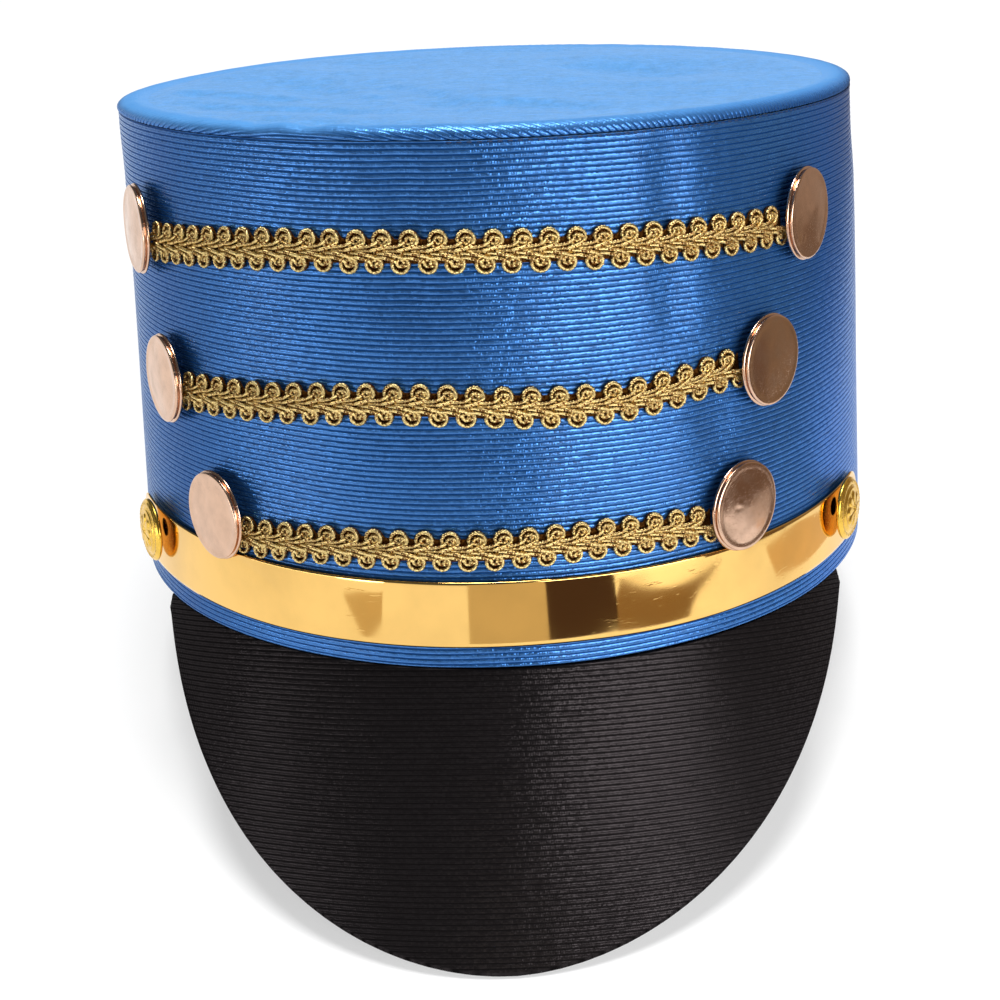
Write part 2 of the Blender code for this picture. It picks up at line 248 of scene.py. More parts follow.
# The ways of a scroll's cord up to its ring, and of the thinner strand beside it: how far each point
# lies from the scroll's middle along the braid, over the braid's middle line, and off the ground
CordPoint = namedtuple("CordPoint", "along rise lift")
SCROLL_LINE = (
    CordPoint(-0.0052, 0.00012, 0.0), CordPoint(-0.0040, 0.00020, 0.0002),
    CordPoint(-0.0027, 0.00030, 0.00055), CordPoint(-0.0013, 0.00050, 0.0008),
    CordPoint(0.0001, 0.00086, 0.0007),
)
STRAND_LINE = (
    CordPoint(-0.0050, 0.00086, 0.0003), CordPoint(-0.0037, 0.00096, 0.0006),
    CordPoint(-0.0024, 0.00118, 0.0008), CordPoint(-0.0012, 0.00160, 0.0006),
    CordPoint(-0.0004, 0.00220, 0.0002),
)

# Turned outlines of the buttons, from the back to the middle of the face: shares of the radius and of
# the height from the back of the rim to the face
TurnedPoint = namedtuple("TurnedPoint", "radius height")
BRAID_BUTTON_LINE = (
    TurnedPoint(0.20, 0.05), TurnedPoint(0.80, 0.02), TurnedPoint(0.94, 0.00), TurnedPoint(0.99, 0.09),
    TurnedPoint(1.00, 0.21), TurnedPoint(0.985, 0.33), TurnedPoint(0.945, 0.41), TurnedPoint(0.925, 0.46),
    TurnedPoint(0.935, 0.52), TurnedPoint(0.965, 0.58), TurnedPoint(0.970, 0.67), TurnedPoint(0.950, 0.76),
    TurnedPoint(0.915, 0.805), TurnedPoint(0.87, 0.80), TurnedPoint(0.82, 0.785), TurnedPoint(0.75, 0.80),
    TurnedPoint(0.55, 0.885), TurnedPoint(0.28, 0.965), TurnedPoint(0.00, 1.00),
)
SIDE_BUTTON_LINE = (
    TurnedPoint(0.30, 0.05), TurnedPoint(0.86, 0.00), TurnedPoint(0.97, 0.10), TurnedPoint(1.00, 0.28),
    TurnedPoint(0.97, 0.46), TurnedPoint(0.90, 0.56), TurnedPoint(0.84, 0.56), TurnedPoint(0.78, 0.62),
    TurnedPoint(0.70, 0.74), TurnedPoint(0.45, 0.92), TurnedPoint(0.00, 1.00),
)


class HatClothSettings(bpy.types.PropertyGroup):
    """Sizes and colours of the satin."""

    rib_pitch: FloatProperty(name="Rib pitch", description="From rib to rib on the crown",
                             default=0.00111, unit="LENGTH")
    rib_height: FloatProperty(name="Rib height", description="How far a rib stands out",
                              default=0.00017, unit="LENGTH")
    peak_rib_height: FloatProperty(name="Peak rib height", description="How far a peak rib stands out",
                                   default=0.00005, unit="LENGTH")
    peak_rib_pitch: FloatProperty(name="Peak rib pitch", description="From rib to rib on the peak",
                                  default=0.00115, unit="LENGTH")
    thread_pitch: FloatProperty(name="Thread pitch", description="From thread to thread across a rib",
                                default=0.00052, unit="LENGTH")
    hem: FloatProperty(name="Hem", description="How far the cloth turns up inside the rim",
                       default=0.0140, unit="LENGTH")
    roll_width: FloatProperty(name="Roll width", description="Width of the padded edge of the top",
                              default=0.0060, unit="LENGTH")
    rib_direction: FloatProperty(name="Top rib direction",
                                 description="Turn of the top's ribs from the hat's width",
                                 default=radians(-24.0), subtype="ANGLE")
    crown_colour: FloatVectorProperty(name="Crown colour", description="Blue of the ribs",
                                      default=(0.048, 0.168, 0.450), subtype="COLOR")
    # The blue between the ribs, much darker than the ribs' own blue: painted shade in the grooves
    crown_valley_shade: FloatVectorProperty(name="Crown valley colour", description="Blue between the ribs",
                                      default=(0.002, 0.042, 0.185), subtype="COLOR")
    # The top is the crown's own satin, painted much lighter because it faces up to the light: painted light
    top_lit_colour: FloatVectorProperty(name="Top colour", description="Blue of the flat top",
                                    default=(0.125, 0.405, 0.880), subtype="COLOR")
    peak_colour: FloatVectorProperty(name="Peak colour", description="Black of the peak's ribs",
                                     default=(0.0210, 0.0180, 0.0188), subtype="COLOR")
    lining_colour: FloatVectorProperty(name="Lining colour", description="Off-white of the board inside",
                                       default=(0.62, 0.60, 0.56), subtype="COLOR")


class HatBraidSettings(bpy.types.PropertyGroup):
    """Sizes and colour of the gold braid."""

    scroll_pitch: FloatProperty(name="Scroll pitch", description="From scroll to scroll along an edge",
                                default=0.0053, unit="LENGTH")
    scroll_stagger: FloatProperty(name="Scroll stagger",
                                  description="How far the lower scrolls stand off, in pitches",
                                  default=0.36, subtype="FACTOR")
    cord_diameter: FloatProperty(name="Cord diameter", description="Thickness of the twisted cord",
                                 default=0.00092, unit="LENGTH")
    strand_diameter: FloatProperty(name="Strand diameter", description="Thickness of the second strand",
                                   default=0.00082, unit="LENGTH")
    twist_length: FloatProperty(name="Twist length", description="Length of one full turn of the plies",
                                default=0.00115, unit="LENGTH")
    plies: IntProperty(name="Plies", description="Yarns twisted into one cord", default=2)
    wound_pitch: FloatProperty(name="Wound pitch", description="From turn to turn of the wound foil",
                               default=0.00026, unit="LENGTH")
    gold: FloatVectorProperty(name="Thread gold", description="Colour of the metallic thread",
                              default=(0.960, 0.560, 0.165), subtype="COLOR")


class HatMetalSettings(bpy.types.PropertyGroup):
    """Colours of the strap and the buttons."""

    foil: FloatVectorProperty(name="Foil gold", description="Colour of the mirror strap",
                              default=(0.930, 0.580, 0.180), subtype="COLOR")
    rose_gold: FloatVectorProperty(name="Rose gold", description="Colour of the flat buttons",
                                   default=(0.730, 0.480, 0.340), subtype="COLOR")
    yellow_gold: FloatVectorProperty(name="Yellow gold", description="Colour of the side buttons",
                                     default=(0.900, 0.560, 0.090), subtype="COLOR")


class HatStageSettings(bpy.types.PropertyGroup):
    """The camera's place round the level hat, and the lights."""

    distance: FloatProperty(name="Camera distance", description="From the aim to the camera",
                            default=0.4553, unit="LENGTH")
    aim_height: FloatProperty(name="Aim height", description="Height of the aim over the rim plane",
                              default=0.0143, unit="LENGTH")
    azimuth: FloatProperty(name="Camera azimuth", description="Turn of the camera to the right",
                           default=radians(4.06), subtype="ANGLE")
    elevation: FloatProperty(name="Camera elevation", description="Rise of the camera over the rim plane",
                             default=radians(17.08), subtype="ANGLE")
    roll: FloatProperty(name="Camera roll", description="Roll of the camera",
                        default=radians(-1.91), subtype="ANGLE")
    lens: FloatProperty(name="Lens", description="Focal length in millimetres on a 36 mm sensor",
                        default=64.4)
    shift_x: FloatProperty(name="Shift across", description="Shift of the frame to the right",
                           default=-0.0029)
    shift_y: FloatProperty(name="Shift up", description="Shift of the frame upwards", default=-0.0455)
    floor_colour: FloatVectorProperty(name="Floor colour", description="Pale colour of the floor",
                                      default=(0.42, 0.42, 0.42), subtype="COLOR")
    floor_glow: FloatProperty(name="Floor glow", description="The floor's own light, which softens shadows",
                              default=0.54)


def corners_of(node):
    """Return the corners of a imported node, as rows of x, y and z."""
    mesh = frame["nodes"][node].data
    corners = np.empty(3 * len(mesh.vertices))
    mesh.vertices.foreach_get("co", corners)
    return corners.reshape(-1, 3)


def find_rest():
    """Return the matrix from the level hat to the hat at rest, read from its rim and the record's up axis.
    """
    up = Vector(frame["record"]["mounts"][0]["axis"])
    across = Vector((1.0, 0.0, 0.0))
    turn = Matrix((across, up.cross(across), up)).transposed()
    corners = corners_of("crown_side") @ np.array(turn)
    rim = corners[corners[:, 2] < corners[:, 2].min() + RING_HEIGHT]
    middle = Vector((rim.max(0) + rim.min(0)) / 2.0)
    middle.z = rim[rim[:, 0].argmax(), 2]
    return Matrix.Translation(turn @ middle) @ turn.to_4x4()


REST = find_rest()
REST_TURN = np.array(REST.to_3x3())
REST_PLACE = np.array(REST.translation)


def level_points(node):
    """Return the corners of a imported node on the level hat."""
    return (corners_of(node) - REST_PLACE) @ REST_TURN


def rest_points(points):
    """Lay points of the level hat back as it rests."""
    return points @ REST_TURN.T + REST_PLACE


Crown = namedtuple("Crown", "rim_width rim_depth seam_width seam_depth height lean wall")


def measure_crown():
    """Read the half sizes of the crown's oval, its height, sideways lean and wall from its node."""
    corners = level_points("crown_side")
    rim = corners[corners[:, 2] < RING_HEIGHT / 2.0]
    seam = corners[corners[:, 2] > corners[:, 2].max() - RING_HEIGHT]
    width, depth = rim[:, 0].max(), rim[:, 1].max()
    inner = rim[np.hypot(rim[:, 0] / width, rim[:, 1] / depth) < 0.99]
    half = (seam.max(0) - seam.min(0)) / 2.0
    lean = (seam[:, 0].max() + seam[:, 0].min()) / 2.0
    height = seam[seam[:, 0].argmax(), 2]
    return Crown(width, depth, half[0], half[1], height, lean, width - inner[:, 0].max())


CROWN = measure_crown()


def oval_at(height):
    """Return the half width, half depth and sideways place of the crown's oval at heights."""
    share = height / CROWN.height
    return (CROWN.rim_width + (CROWN.seam_width - CROWN.rim_width) * share,
            CROWN.rim_depth + (CROWN.seam_depth - CROWN.rim_depth) * share,
            CROWN.lean * share)


def crown_points(angle, height, offset=0.0):
    """Return points off the crown's outer face, from angles, heights and offsets outwards."""
    angle, height, offset = np.broadcast_arrays(angle, height, offset)
    width, depth, lean = oval_at(height)
    out = np.stack([np.sin(angle) / width, -np.cos(angle) / depth], axis=-1)
    out /= np.linalg.norm(out, axis=-1, keepdims=True)
    return np.stack([width * np.sin(angle) + lean + offset * out[..., 0],
                     -depth * np.cos(angle) + offset * out[..., 1], height], axis=-1)


def crown_angles(points):
    """Return the angles round the crown at which points lie."""
    width, depth, lean = oval_at(points[:, 2])
    return np.arctan2((points[:, 0] - lean) / width, -points[:, 1] / depth)


def crown_feet(points):
    """Return the angle and the offset outwards at which points stand off the oval of the rim."""
    angle = np.arctan2(points[:, 0] / CROWN.rim_width, -points[:, 1] / CROWN.rim_depth)
    for _ in range(8):
        gap = (points - crown_points(angle, 0.0))[:, :2]
        tangent = np.stack([CROWN.rim_width * np.cos(angle), CROWN.rim_depth * np.sin(angle)], axis=-1)
        angle += (gap * tangent).sum(1) / (tangent * tangent).sum(1)
    outward = (crown_points(angle, 0.0, 1.0) - crown_points(angle, 0.0))[:, :2]
    return angle, (gap * outward).sum(1)


def round_crown(columns):
    """Return the angles of columns that go once round the crown, from the back to the back."""
    return np.radians(np.linspace(-180.0, 180.0, columns + 1))


ANGLES = round_crown(1440)


def arcs_at(height):
    """Return the arc of each of the ANGLES at a height."""
    steps = np.linalg.norm(np.diff(crown_points(ANGLES, height), axis=0), axis=1)
    arcs = np.concatenate([[0.0], np.cumsum(steps)])
    return arcs - arcs[len(arcs) // 2]


Band = namedtuple("Band", "start end height stations middle width face")


def measure_band(node, window):
    """Read a band's ends, middle line, width and outer face from its node."""
    corners = level_points(node)
    height = (corners[:, 2].max() + corners[:, 2].min()) / 2.0
    angles = crown_angles(corners)
    arcs = np.interp(angles, ANGLES, arcs_at(height))
    face = np.linalg.norm((corners - crown_points(angles, corners[:, 2]))[:, :2], axis=1).max()
    stations = np.linspace(arcs.min(), arcs.max(), 41)
    middle, widths = [], []
    for station in stations:
        near = corners[np.abs(arcs - station) < window, 2]
        middle.append((near.max() + near.min()) / 2.0)
        widths.append(near.max() - near.min())
    middle = np.polyval(np.polyfit(stations, middle, 6), stations)
    return Band(arcs.min(), arcs.max(), height, stations, middle, np.median(widths), face)


def bend(points, band):
    """Lay flat points (arc, height over the band's middle line, offset) round the crown."""
    arcs, rise, offset = points[..., 0], points[..., 1], points[..., 2]
    angle = np.interp(arcs, arcs_at(band.height), ANGLES)
    return crown_points(angle, np.interp(arcs, band.stations, band.middle) + rise, offset)


Seat = namedtuple("Seat", "matrix radius back face")


def measure_seat(node):
    """Read where a turned node stands: its matrix, with Z outwards, its radius, and how high over its
    foot the back of its rim and its face are."""
    corners = level_points(node)
    middle = corners.mean(0)
    axis = np.linalg.eigh(np.cov((corners - middle).T))[1][:, 0]
    axis *= np.sign(axis[:2] @ middle[:2])
    along = (corners - middle) @ axis
    radii = np.linalg.norm(corners - middle - along[:, None] * axis, axis=1)
    outward = Vector(axis)
    sideways = Vector((0.0, 0.0, 1.0)).cross(outward).normalized()
    matrix = Matrix((sideways, outward.cross(sideways), outward)).transposed().to_4x4()
    matrix.translation = Vector(middle + along.min() * axis)
    wide = radii > 0.85 * radii.max()
    return Seat(matrix, radii.max(), along[wide].min() - along.min(), along.max() - along.min())


def soft_noise(x, y, size, seed, waves=9):
    """Return smooth noise of about -1 to 1 over places, its features about size across."""
    draw = np.random.default_rng(seed)
    total = np.zeros(np.broadcast(x, y).shape)
    for _ in range(waves):
        turn, shift = draw.uniform(0.0, tau, 2)
        rate = draw.uniform(0.55, 1.45) * pi / size
        total += np.sin(rate * (x * np.cos(turn) + y * np.sin(turn)) + shift)
    return total / np.sqrt(waves)


def smooth_step(low, high, value):
    """Return 0 below low, 1 above high, and a smooth rise between."""
    share = np.clip((value - low) / (high - low), 0.0, 1.0)
    return share * share * (3.0 - 2.0 * share)


def smooth_line(points, count):
    """Return count points on a smooth curve through a few points, evenly spaced by number."""
    points = np.array(points, float)
    place = np.linspace(0.0, len(points) - 1.0, count)
    index = np.minimum(place.astype(int), len(points) - 2)
    ahead = (place - index)[:, None]
    padded = np.vstack([2.0 * points[0] - points[1], points, 2.0 * points[-1] - points[-2]])
    before, low, high, after = (padded[index + step] for step in range(4))
    return 0.5 * (2.0 * low + (high - before) * ahead
                  + (2.0 * before - 5.0 * low + 4.0 * high - after) * ahead ** 2
                  + (3.0 * low - before - 3.0 * high + after) * ahead ** 3)


def near_line(x, y, start, end):
    """Return how far places lie from a straight line, and how far along it, from 0 to 1."""
    run = np.array(end) - np.array(start)
    along = np.clip(((x - start[0]) * run[0] + (y - start[1]) * run[1]) / (run @ run), 0.0, 1.0)
    return np.hypot(x - start[0] - along * run[0], y - start[1] - along * run[1]), along


def rib_shape(across, pitch):
    """Return the rise of a ribbed cloth from 0 between its ribs to 1 on them."""
    return np.sin(pi * across / pitch) ** 2


def grid_mesh(name, points, flat, around=False):
    """Return a smooth mesh over a grid of level points (rows, columns, 3), facing along x up.

    flat holds the place of each point on the flat cloth, which its weave follows. around joins the
    last column to the first.
    """
    rows, columns = points.shape[:2]
    index = np.arange(rows * columns).reshape(rows, columns)
    faces = np.stack([index[:-1, :-1], index[:-1, 1:], index[1:, 1:], index[1:, :-1]], axis=-1)
    mesh = bpy.data.meshes.new(name)
    mesh.from_pydata(rest_points(points.reshape(-1, 3)).tolist(), [], faces.reshape(-1, 4).tolist())
    add_map(mesh, flat.reshape(-1, 2))
    if around:
        weld(mesh)
    mesh.shade_smooth()
    return mesh


def tubes_mesh(name, tubes):
    """Return one smooth mesh of many tubes, each given as its rings of level points and their map."""
    corners, faces, flats, count = [], [], [], 0
    for rings, flat in tubes:
        stations, sides = rings.shape[:2]
        index = np.arange(stations * sides).reshape(stations, sides) + count
        side = np.stack([index[:-1, :-1], index[1:, :-1], index[1:, 1:], index[:-1, 1:]], axis=-1)
        corners.append(rings.reshape(-1, 3))
        faces.append(side.reshape(-1, 4))
        flats.append(flat.reshape(-1, 2))
        count += stations * sides
    mesh = bpy.data.meshes.new(name)
    mesh.from_pydata(rest_points(np.concatenate(corners)).tolist(), [], np.concatenate(faces).tolist())
    add_map(mesh, np.concatenate(flats))
    weld(mesh)
    mesh.shade_smooth()
    return mesh


def add_map(mesh, flat):
    """Store the flat place of each corner in the mesh's map."""
    layer = mesh.uv_layers.new(name=CLOTH_MAP)
    corner = np.empty(len(mesh.loops), int)
    mesh.loops.foreach_get("vertex_index", corner)
    layer.data.foreach_set("uv", flat[corner].astype(np.float32).ravel())


def weld(mesh):
    """Join corners that lie on each other, which closes seams and round ends."""
    shape = bmesh.new()
    shape.from_mesh(mesh)
    bmesh.ops.remove_doubles(shape, verts=shape.verts, dist=TINY / 10.0)
    shape.to_mesh(mesh)
    shape.free()


def add_object(name, data):
    """Put an object into the scene."""
    thing = bpy.data.objects.new(name, data)
    bpy.context.scene.collection.objects.link(thing)
    return thing


def add_piece(name, mesh, material, stands_for=()):
    """Add a finished piece to the hat: it rides on the body and takes the place of its solids."""
    mesh.materials.append(material)
    piece = add_object(name, mesh)
    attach(piece, BODY)
    if stands_for:
        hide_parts(*stands_for)
    return piece


def add_node(tree, kind, inputs=None, **settings):
    """Add a shader node with its settings, and link or set its inputs by name or number."""
    node = tree.nodes.new(kind)
    for name, value in settings.items():
        setattr(node, name, value)
    for name, value in (inputs or {}).items():
        if isinstance(value, bpy.types.NodeSocket):
            tree.links.new(value, node.inputs[name])
        else:
            node.inputs[name].default_value = value
    return node


def maths(tree, operation, *values):
    """Add a maths node and return its result."""
    return add_node(tree, "ShaderNodeMath", dict(enumerate(values)), operation=operation).outputs[0]


def mix_colours(tree, factor, first, second):
    """Add a colour mix and return its result."""
    node = tree.nodes.new("ShaderNodeMix")
    node.data_type = "RGBA"
    colours = [socket for socket in node.inputs if socket.type == "RGBA"]
    for socket, value in ((node.inputs[0], factor), (colours[0], first), (colours[1], second)):
        if isinstance(value, bpy.types.NodeSocket):
            tree.links.new(value, socket)
        else:
            socket.default_value = value
    return [socket for socket in node.outputs if socket.type == "RGBA"][0]


def ramp(tree, value, low, high):
    """Return a value stretched so that low becomes 0 and high becomes 1, and clipped."""
    return add_node(tree, "ShaderNodeMapRange",
                    {"Value": value, "From Min": low, "From Max": high}).outputs["Result"]


def humps(tree, value, count=1):
    """Return rounded humps from 0 to 1, so many for each whole number of a value."""
    return maths(tree, "ABSOLUTE", maths(tree, "SINE", maths(tree, "MULTIPLY", value, count * pi)))


def cloth_place(tree):
    """Return the node that gives the place on the flat cloth: X runs along the ribs and Y across."""
    flat = add_node(tree, "ShaderNodeUVMap", uv_map=CLOTH_MAP).outputs["UV"]
    return add_node(tree, "ShaderNodeSeparateXYZ", {"Vector": flat})


def opaque(colour, share=1.0):
    """Return a colour for a socket, lightened or darkened by a share."""
    return (*(share * value for value in colour), 1.0)


def add_relief(tree, shader, height, distance, strength=1.0, **more):
    """Make a shader's surface look raised by a height, which counts in units of the distance."""
    raised = add_node(tree, "ShaderNodeBump",
                      {"Height": height, "Distance": distance, "Strength": strength, **more})
    tree.links.new(raised.outputs["Normal"], shader.inputs["Normal"])


def new_group(name, inputs, outputs):
    """Return an empty shader group with named inputs and outputs, and its two end nodes.

    An input that has no default is a vector, and so is an output called Normal.
    """
    group = bpy.data.node_groups.new(name, "ShaderNodeTree")
    for label, default in inputs.items():
        kind = "NodeSocketVector" if default is None else "NodeSocketFloat"
        socket = group.interface.new_socket(label, in_out="INPUT", socket_type=kind)
        if default is not None:
            socket.default_value = default
    for label in outputs:
        kind = "NodeSocketVector" if label == "Normal" else "NodeSocketFloat"
        group.interface.new_socket(label, in_out="OUTPUT", socket_type=kind)
    return group, group.nodes.new("NodeGroupInput"), group.nodes.new("NodeGroupOutput")


def add_group(tree, name, build, inputs):
    """Place a shared shader group, which is built when it is first asked for."""
    group = bpy.data.node_groups.get(name) or build(name)
    return add_node(tree, "ShaderNodeGroup", inputs, node_tree=group)


def thread_glints_group(name):
    """Short stretches of thread, each tilted its own way, counted along and across by whole numbers."""
    group, start, end = new_group(name, {"Along": 0.0, "Across": 0.0, "Tilt": 0.1}, ("Chance", "Normal"))
    cell = add_node(group, "ShaderNodeCombineXYZ", {"X": maths(group, "FLOOR", start.outputs["Along"]),
                                                    "Y": maths(group, "FLOOR", start.outputs["Across"])})
    chance = add_node(group, "ShaderNodeTexWhiteNoise", {"Vector": cell.outputs[0]}, noise_dimensions="2D")
    centred = add_node(group, "ShaderNodeVectorMath", {0: chance.outputs["Color"], 1: (0.5, 0.5, 0.5)},
                       operation="SUBTRACT")
    tilt = add_node(group, "ShaderNodeVectorMath", {0: centred.outputs[0], "Scale": start.outputs["Tilt"]},
                    operation="SCALE")
    face = add_node(group, "ShaderNodeNewGeometry").outputs["Normal"]
    tilted = add_node(group, "ShaderNodeVectorMath", {0: face, 1: tilt.outputs[0]}, operation="ADD")
    normal = add_node(group, "ShaderNodeVectorMath", {0: tilted.outputs[0]}, operation="NORMALIZE")
    group.links.new(chance.outputs["Value"], end.inputs["Chance"])
    group.links.new(normal.outputs[0], end.inputs["Normal"])
    return group


def ribbed_weave_group(name):
    """Ribs of two cords each, with fine threads laid over them, from the place on the flat cloth.

    Rib rises from 0 between the ribs to 1 on them and dips between the two cords; the materials paint shade
    where it is low. Thread is the height of the cords and threads alone.
    """
    group, start, end = new_group(
        name, {"Along": 0.0, "Across": 0.0, "Rib Pitch": 0.0012, "Thread Pitch": 0.0005}, ("Rib", "Thread"))
    ribs = maths(group, "DIVIDE", start.outputs["Across"], start.outputs["Rib Pitch"])
    rise = humps(group, ribs)
    cords = humps(group, ribs, 2)
    darkening = maths(group, "MULTIPLY_ADD", cords, CORD_SHADE, 1.0 - CORD_SHADE)
    lines = maths(group, "MULTIPLY", rise, darkening)
    half_step = maths(group, "MULTIPLY", maths(group, "FLOOR", ribs), 0.5)
    threads = maths(group, "DIVIDE", start.outputs["Along"], start.outputs["Thread Pitch"])
    thread = humps(group, maths(group, "ADD", threads, half_step))
    relief = maths(group, "MULTIPLY_ADD", cords, CORD_RELIEF, maths(group, "MULTIPLY", thread, rise))
    group.links.new(lines, end.inputs["Rib"])
    group.links.new(relief, end.inputs["Thread"])
    return group


def handled_metal_group(name):
    """Fine scratches and smudges of a polished surface, from a place in space."""
    group, start, end = new_group(name, {"Vector": None, "Scale": 100.0}, ("Scratch", "Smudge"))
    smudge = add_node(group, "ShaderNodeTexNoise",
                      {"Vector": start.outputs["Vector"], "Scale": start.outputs["Scale"], "Detail": 5.0})
    stretched = add_node(group, "ShaderNodeMapping",
                         {"Vector": start.outputs["Vector"], "Scale": (1.0, 9.0, 14.0),
                          "Rotation": (0.4, 0.9, 0.3)})
    lines = add_node(group, "ShaderNodeTexNoise",
                     {"Vector": stretched.outputs[0], "Scale": start.outputs["Scale"], "Detail": 3.0})
    scratch = ramp(group, lines.outputs["Fac"], 0.60, 0.72)
    group.links.new(scratch, end.inputs["Scratch"])
    group.links.new(ramp(group, smudge.outputs["Fac"], 0.35, 0.70), end.inputs["Smudge"])
    return group


def new_material(name, roughness, metallic=0.0):
    """Return a new material, its node tree and its shader."""
    material = bpy.data.materials.new(name)
    material.use_nodes = True
    shader = material.node_tree.nodes["Principled BSDF"]
    shader.inputs["Roughness"].default_value = roughness
    shader.inputs["Metallic"].default_value = metallic
    return material, material.node_tree, shader


def satin_material(name, colour, valley, settings, pitch, bump=0.00002, glint=0.5, tilt=0.20,
                   roughness=0.22, dull=0.60, tint=(1.0, 1.0, 1.0), metallic=0.0, gloss=0.5, coat=0.0,
                   patchy=0.20, pressed=None, sides=()):
    """Ribbed satin: dull between its ribs with painted shade there, and threads that catch the light one by
    one, with painted glints.
    """
    material, tree, shader = new_material(name, roughness, metallic)
    shader.inputs["Specular IOR Level"].default_value = gloss
    shader.inputs["Specular Tint"].default_value = opaque(tint)
    shader.inputs["Coat Roughness"].default_value = roughness
    place = cloth_place(tree)
    weave = add_group(tree, "Ribbed weave", ribbed_weave_group,
                      {"Along": place.outputs["X"], "Across": place.outputs["Y"],
                       "Rib Pitch": pitch, "Thread Pitch": settings.thread_pitch})
    glints = add_group(tree, "Thread glints", thread_glints_group,
                       {"Along": maths(tree, "DIVIDE", place.outputs["X"], settings.thread_pitch),
                        "Across": maths(tree, "DIVIDE", place.outputs["Y"], pitch / 3.0), "Tilt": tilt})
    rib = ramp(tree, weave.outputs["Rib"], 0.10, 0.66)
    tree.links.new(maths(tree, "MULTIPLY", rib, coat), shader.inputs["Coat Weight"])
    sparkle = ramp(tree, glints.outputs["Chance"], 0.45, 1.00)
    # Painted glints: a few threads' colour is lightened, as if they caught the light
    glint_colour = tuple(min(1.0, 1.6 * value + 0.004) for value in colour)
    mottle = add_node(tree, "ShaderNodeTexNoise", {"Scale": 55.0, "Detail": 3.0})
    grain = add_node(tree, "ShaderNodeTexNoise", {"Scale": 1500.0, "Detail": 2.0})
    uneven = maths(tree, "MULTIPLY", maths(tree, "ADD", grain.outputs["Fac"], mottle.outputs["Fac"]), 0.5)
    worn = mix_colours(tree, ramp(tree, uneven, 0.36, 0.64),
                       opaque(colour, 1.0 - patchy), opaque(colour, 1.0 + 0.6 * patchy))
    lit = mix_colours(tree, maths(tree, "MULTIPLY", sparkle, glint), worn, opaque(glint_colour))
    # Painted light on the crown's sides: painted shade on the left, a bluer painted light on the right
    for side in sides:
        painted_side = maths(tree, "MULTIPLY", ramp(tree, place.outputs["X"], side.start, side.full), PAINTED_SIDE_SHARE)
        lit = mix_colours(tree, painted_side, lit, opaque(side.colour))
    # The colour between the ribs is painted shade, lighter where the ribs are pressed flatter
    low = opaque(valley)
    if pressed:
        full = maths(tree, "MULTIPLY", ramp(tree, place.outputs["X"], *FULL_RIBS[:2]),
                     ramp(tree, place.outputs["X"], FULL_RIBS[3], FULL_RIBS[2]))
        low = mix_colours(tree, full, opaque(pressed), low)
    tree.links.new(mix_colours(tree, rib, low, lit), shader.inputs["Base Color"])
    add_relief(tree, shader, weave.outputs["Thread"], bump, Normal=glints.outputs["Normal"])
    polish = maths(tree, "MULTIPLY_ADD", rib, roughness - dull, dull)
    tree.links.new(maths(tree, "MULTIPLY_ADD", sparkle, -0.05, polish), shader.inputs["Roughness"])
    return material


def metal_material(name, colour, roughness, scale=220.0, scratch=0.00002, smudge=0.10):
    """Polished metal or foil with faint scratches and smudges."""
    material, tree, shader = new_material(name, roughness, metallic=1.0)
    place = add_node(tree, "ShaderNodeTexCoord").outputs["Object"]
    wear = add_group(tree, "Handled metal", handled_metal_group, {"Vector": place, "Scale": scale})
    tree.links.new(mix_colours(tree, wear.outputs["Smudge"], opaque(colour), opaque(colour, 0.84)),
                   shader.inputs["Base Color"])
    tree.links.new(maths(tree, "MULTIPLY_ADD", wear.outputs["Smudge"], smudge, roughness),
                   shader.inputs["Roughness"])
    add_relief(tree, shader, wear.outputs["Scratch"], scratch, 0.6)
    return material


def braid_material(settings):
    """Metallic thread wound round the cord, each turn catching the light on its own, with painted shade
    between the turns and painted glints on a few.
    """
    material, tree, shader = new_material("gold_thread", 0.30, metallic=1.0)
    place = cloth_place(tree)
    turns = maths(tree, "ADD", maths(tree, "MULTIPLY", place.outputs["X"], 1.0 / settings.wound_pitch),
                  maths(tree, "MULTIPLY", place.outputs["Y"], 3.0))
    wound = humps(tree, turns)
    glints = add_group(tree, "Thread glints", thread_glints_group,
                       {"Along": turns, "Across": maths(tree, "MULTIPLY", place.outputs["Y"], 6.0),
                        "Tilt": 0.70})
    shader.inputs["Specular Tint"].default_value = (1.0, 0.70, 0.35, 1.0)
    gold = np.array(settings.gold)
    shaded_gold = opaque(gold * THREAD_SHADE)
    glint_colour = opaque(np.minimum(gold * THREAD_GLINT, 1.0))
    # Painted shade between the wound turns and painted glints on a few of them
    share = ramp(tree, maths(tree, "MULTIPLY", wound, glints.outputs["Chance"]), 0.03, 0.35)
    tree.links.new(mix_colours(tree, share, shaded_gold, glint_colour), shader.inputs["Base Color"])
    add_relief(tree, shader, wound, 0.00004, Normal=glints.outputs["Normal"])
    return material


def ground_material():
    """Very dark brown gold of the ground under the cords: threads whose darkness is painted shade in the
    gaps between them.
    """
    material, tree, shader = new_material("braid_shade_ground", 0.55, metallic=0.8)
    shader.inputs["Specular IOR Level"].default_value = 0.1
    place = add_node(tree, "ShaderNodeTexCoord").outputs["Object"]
    threads = add_node(tree, "ShaderNodeTexNoise", {"Vector": place, "Scale": 2600.0, "Detail": 2.0})
    tree.links.new(mix_colours(tree, ramp(tree, threads.outputs["Fac"], 0.35, 0.70),
                               (0.022, 0.005, 0.0003, 1.0), (0.12, 0.045, 0.006, 1.0)),
                   shader.inputs["Base Color"])
    add_relief(tree, shader, threads.outputs["Fac"], 0.00015)
    return material


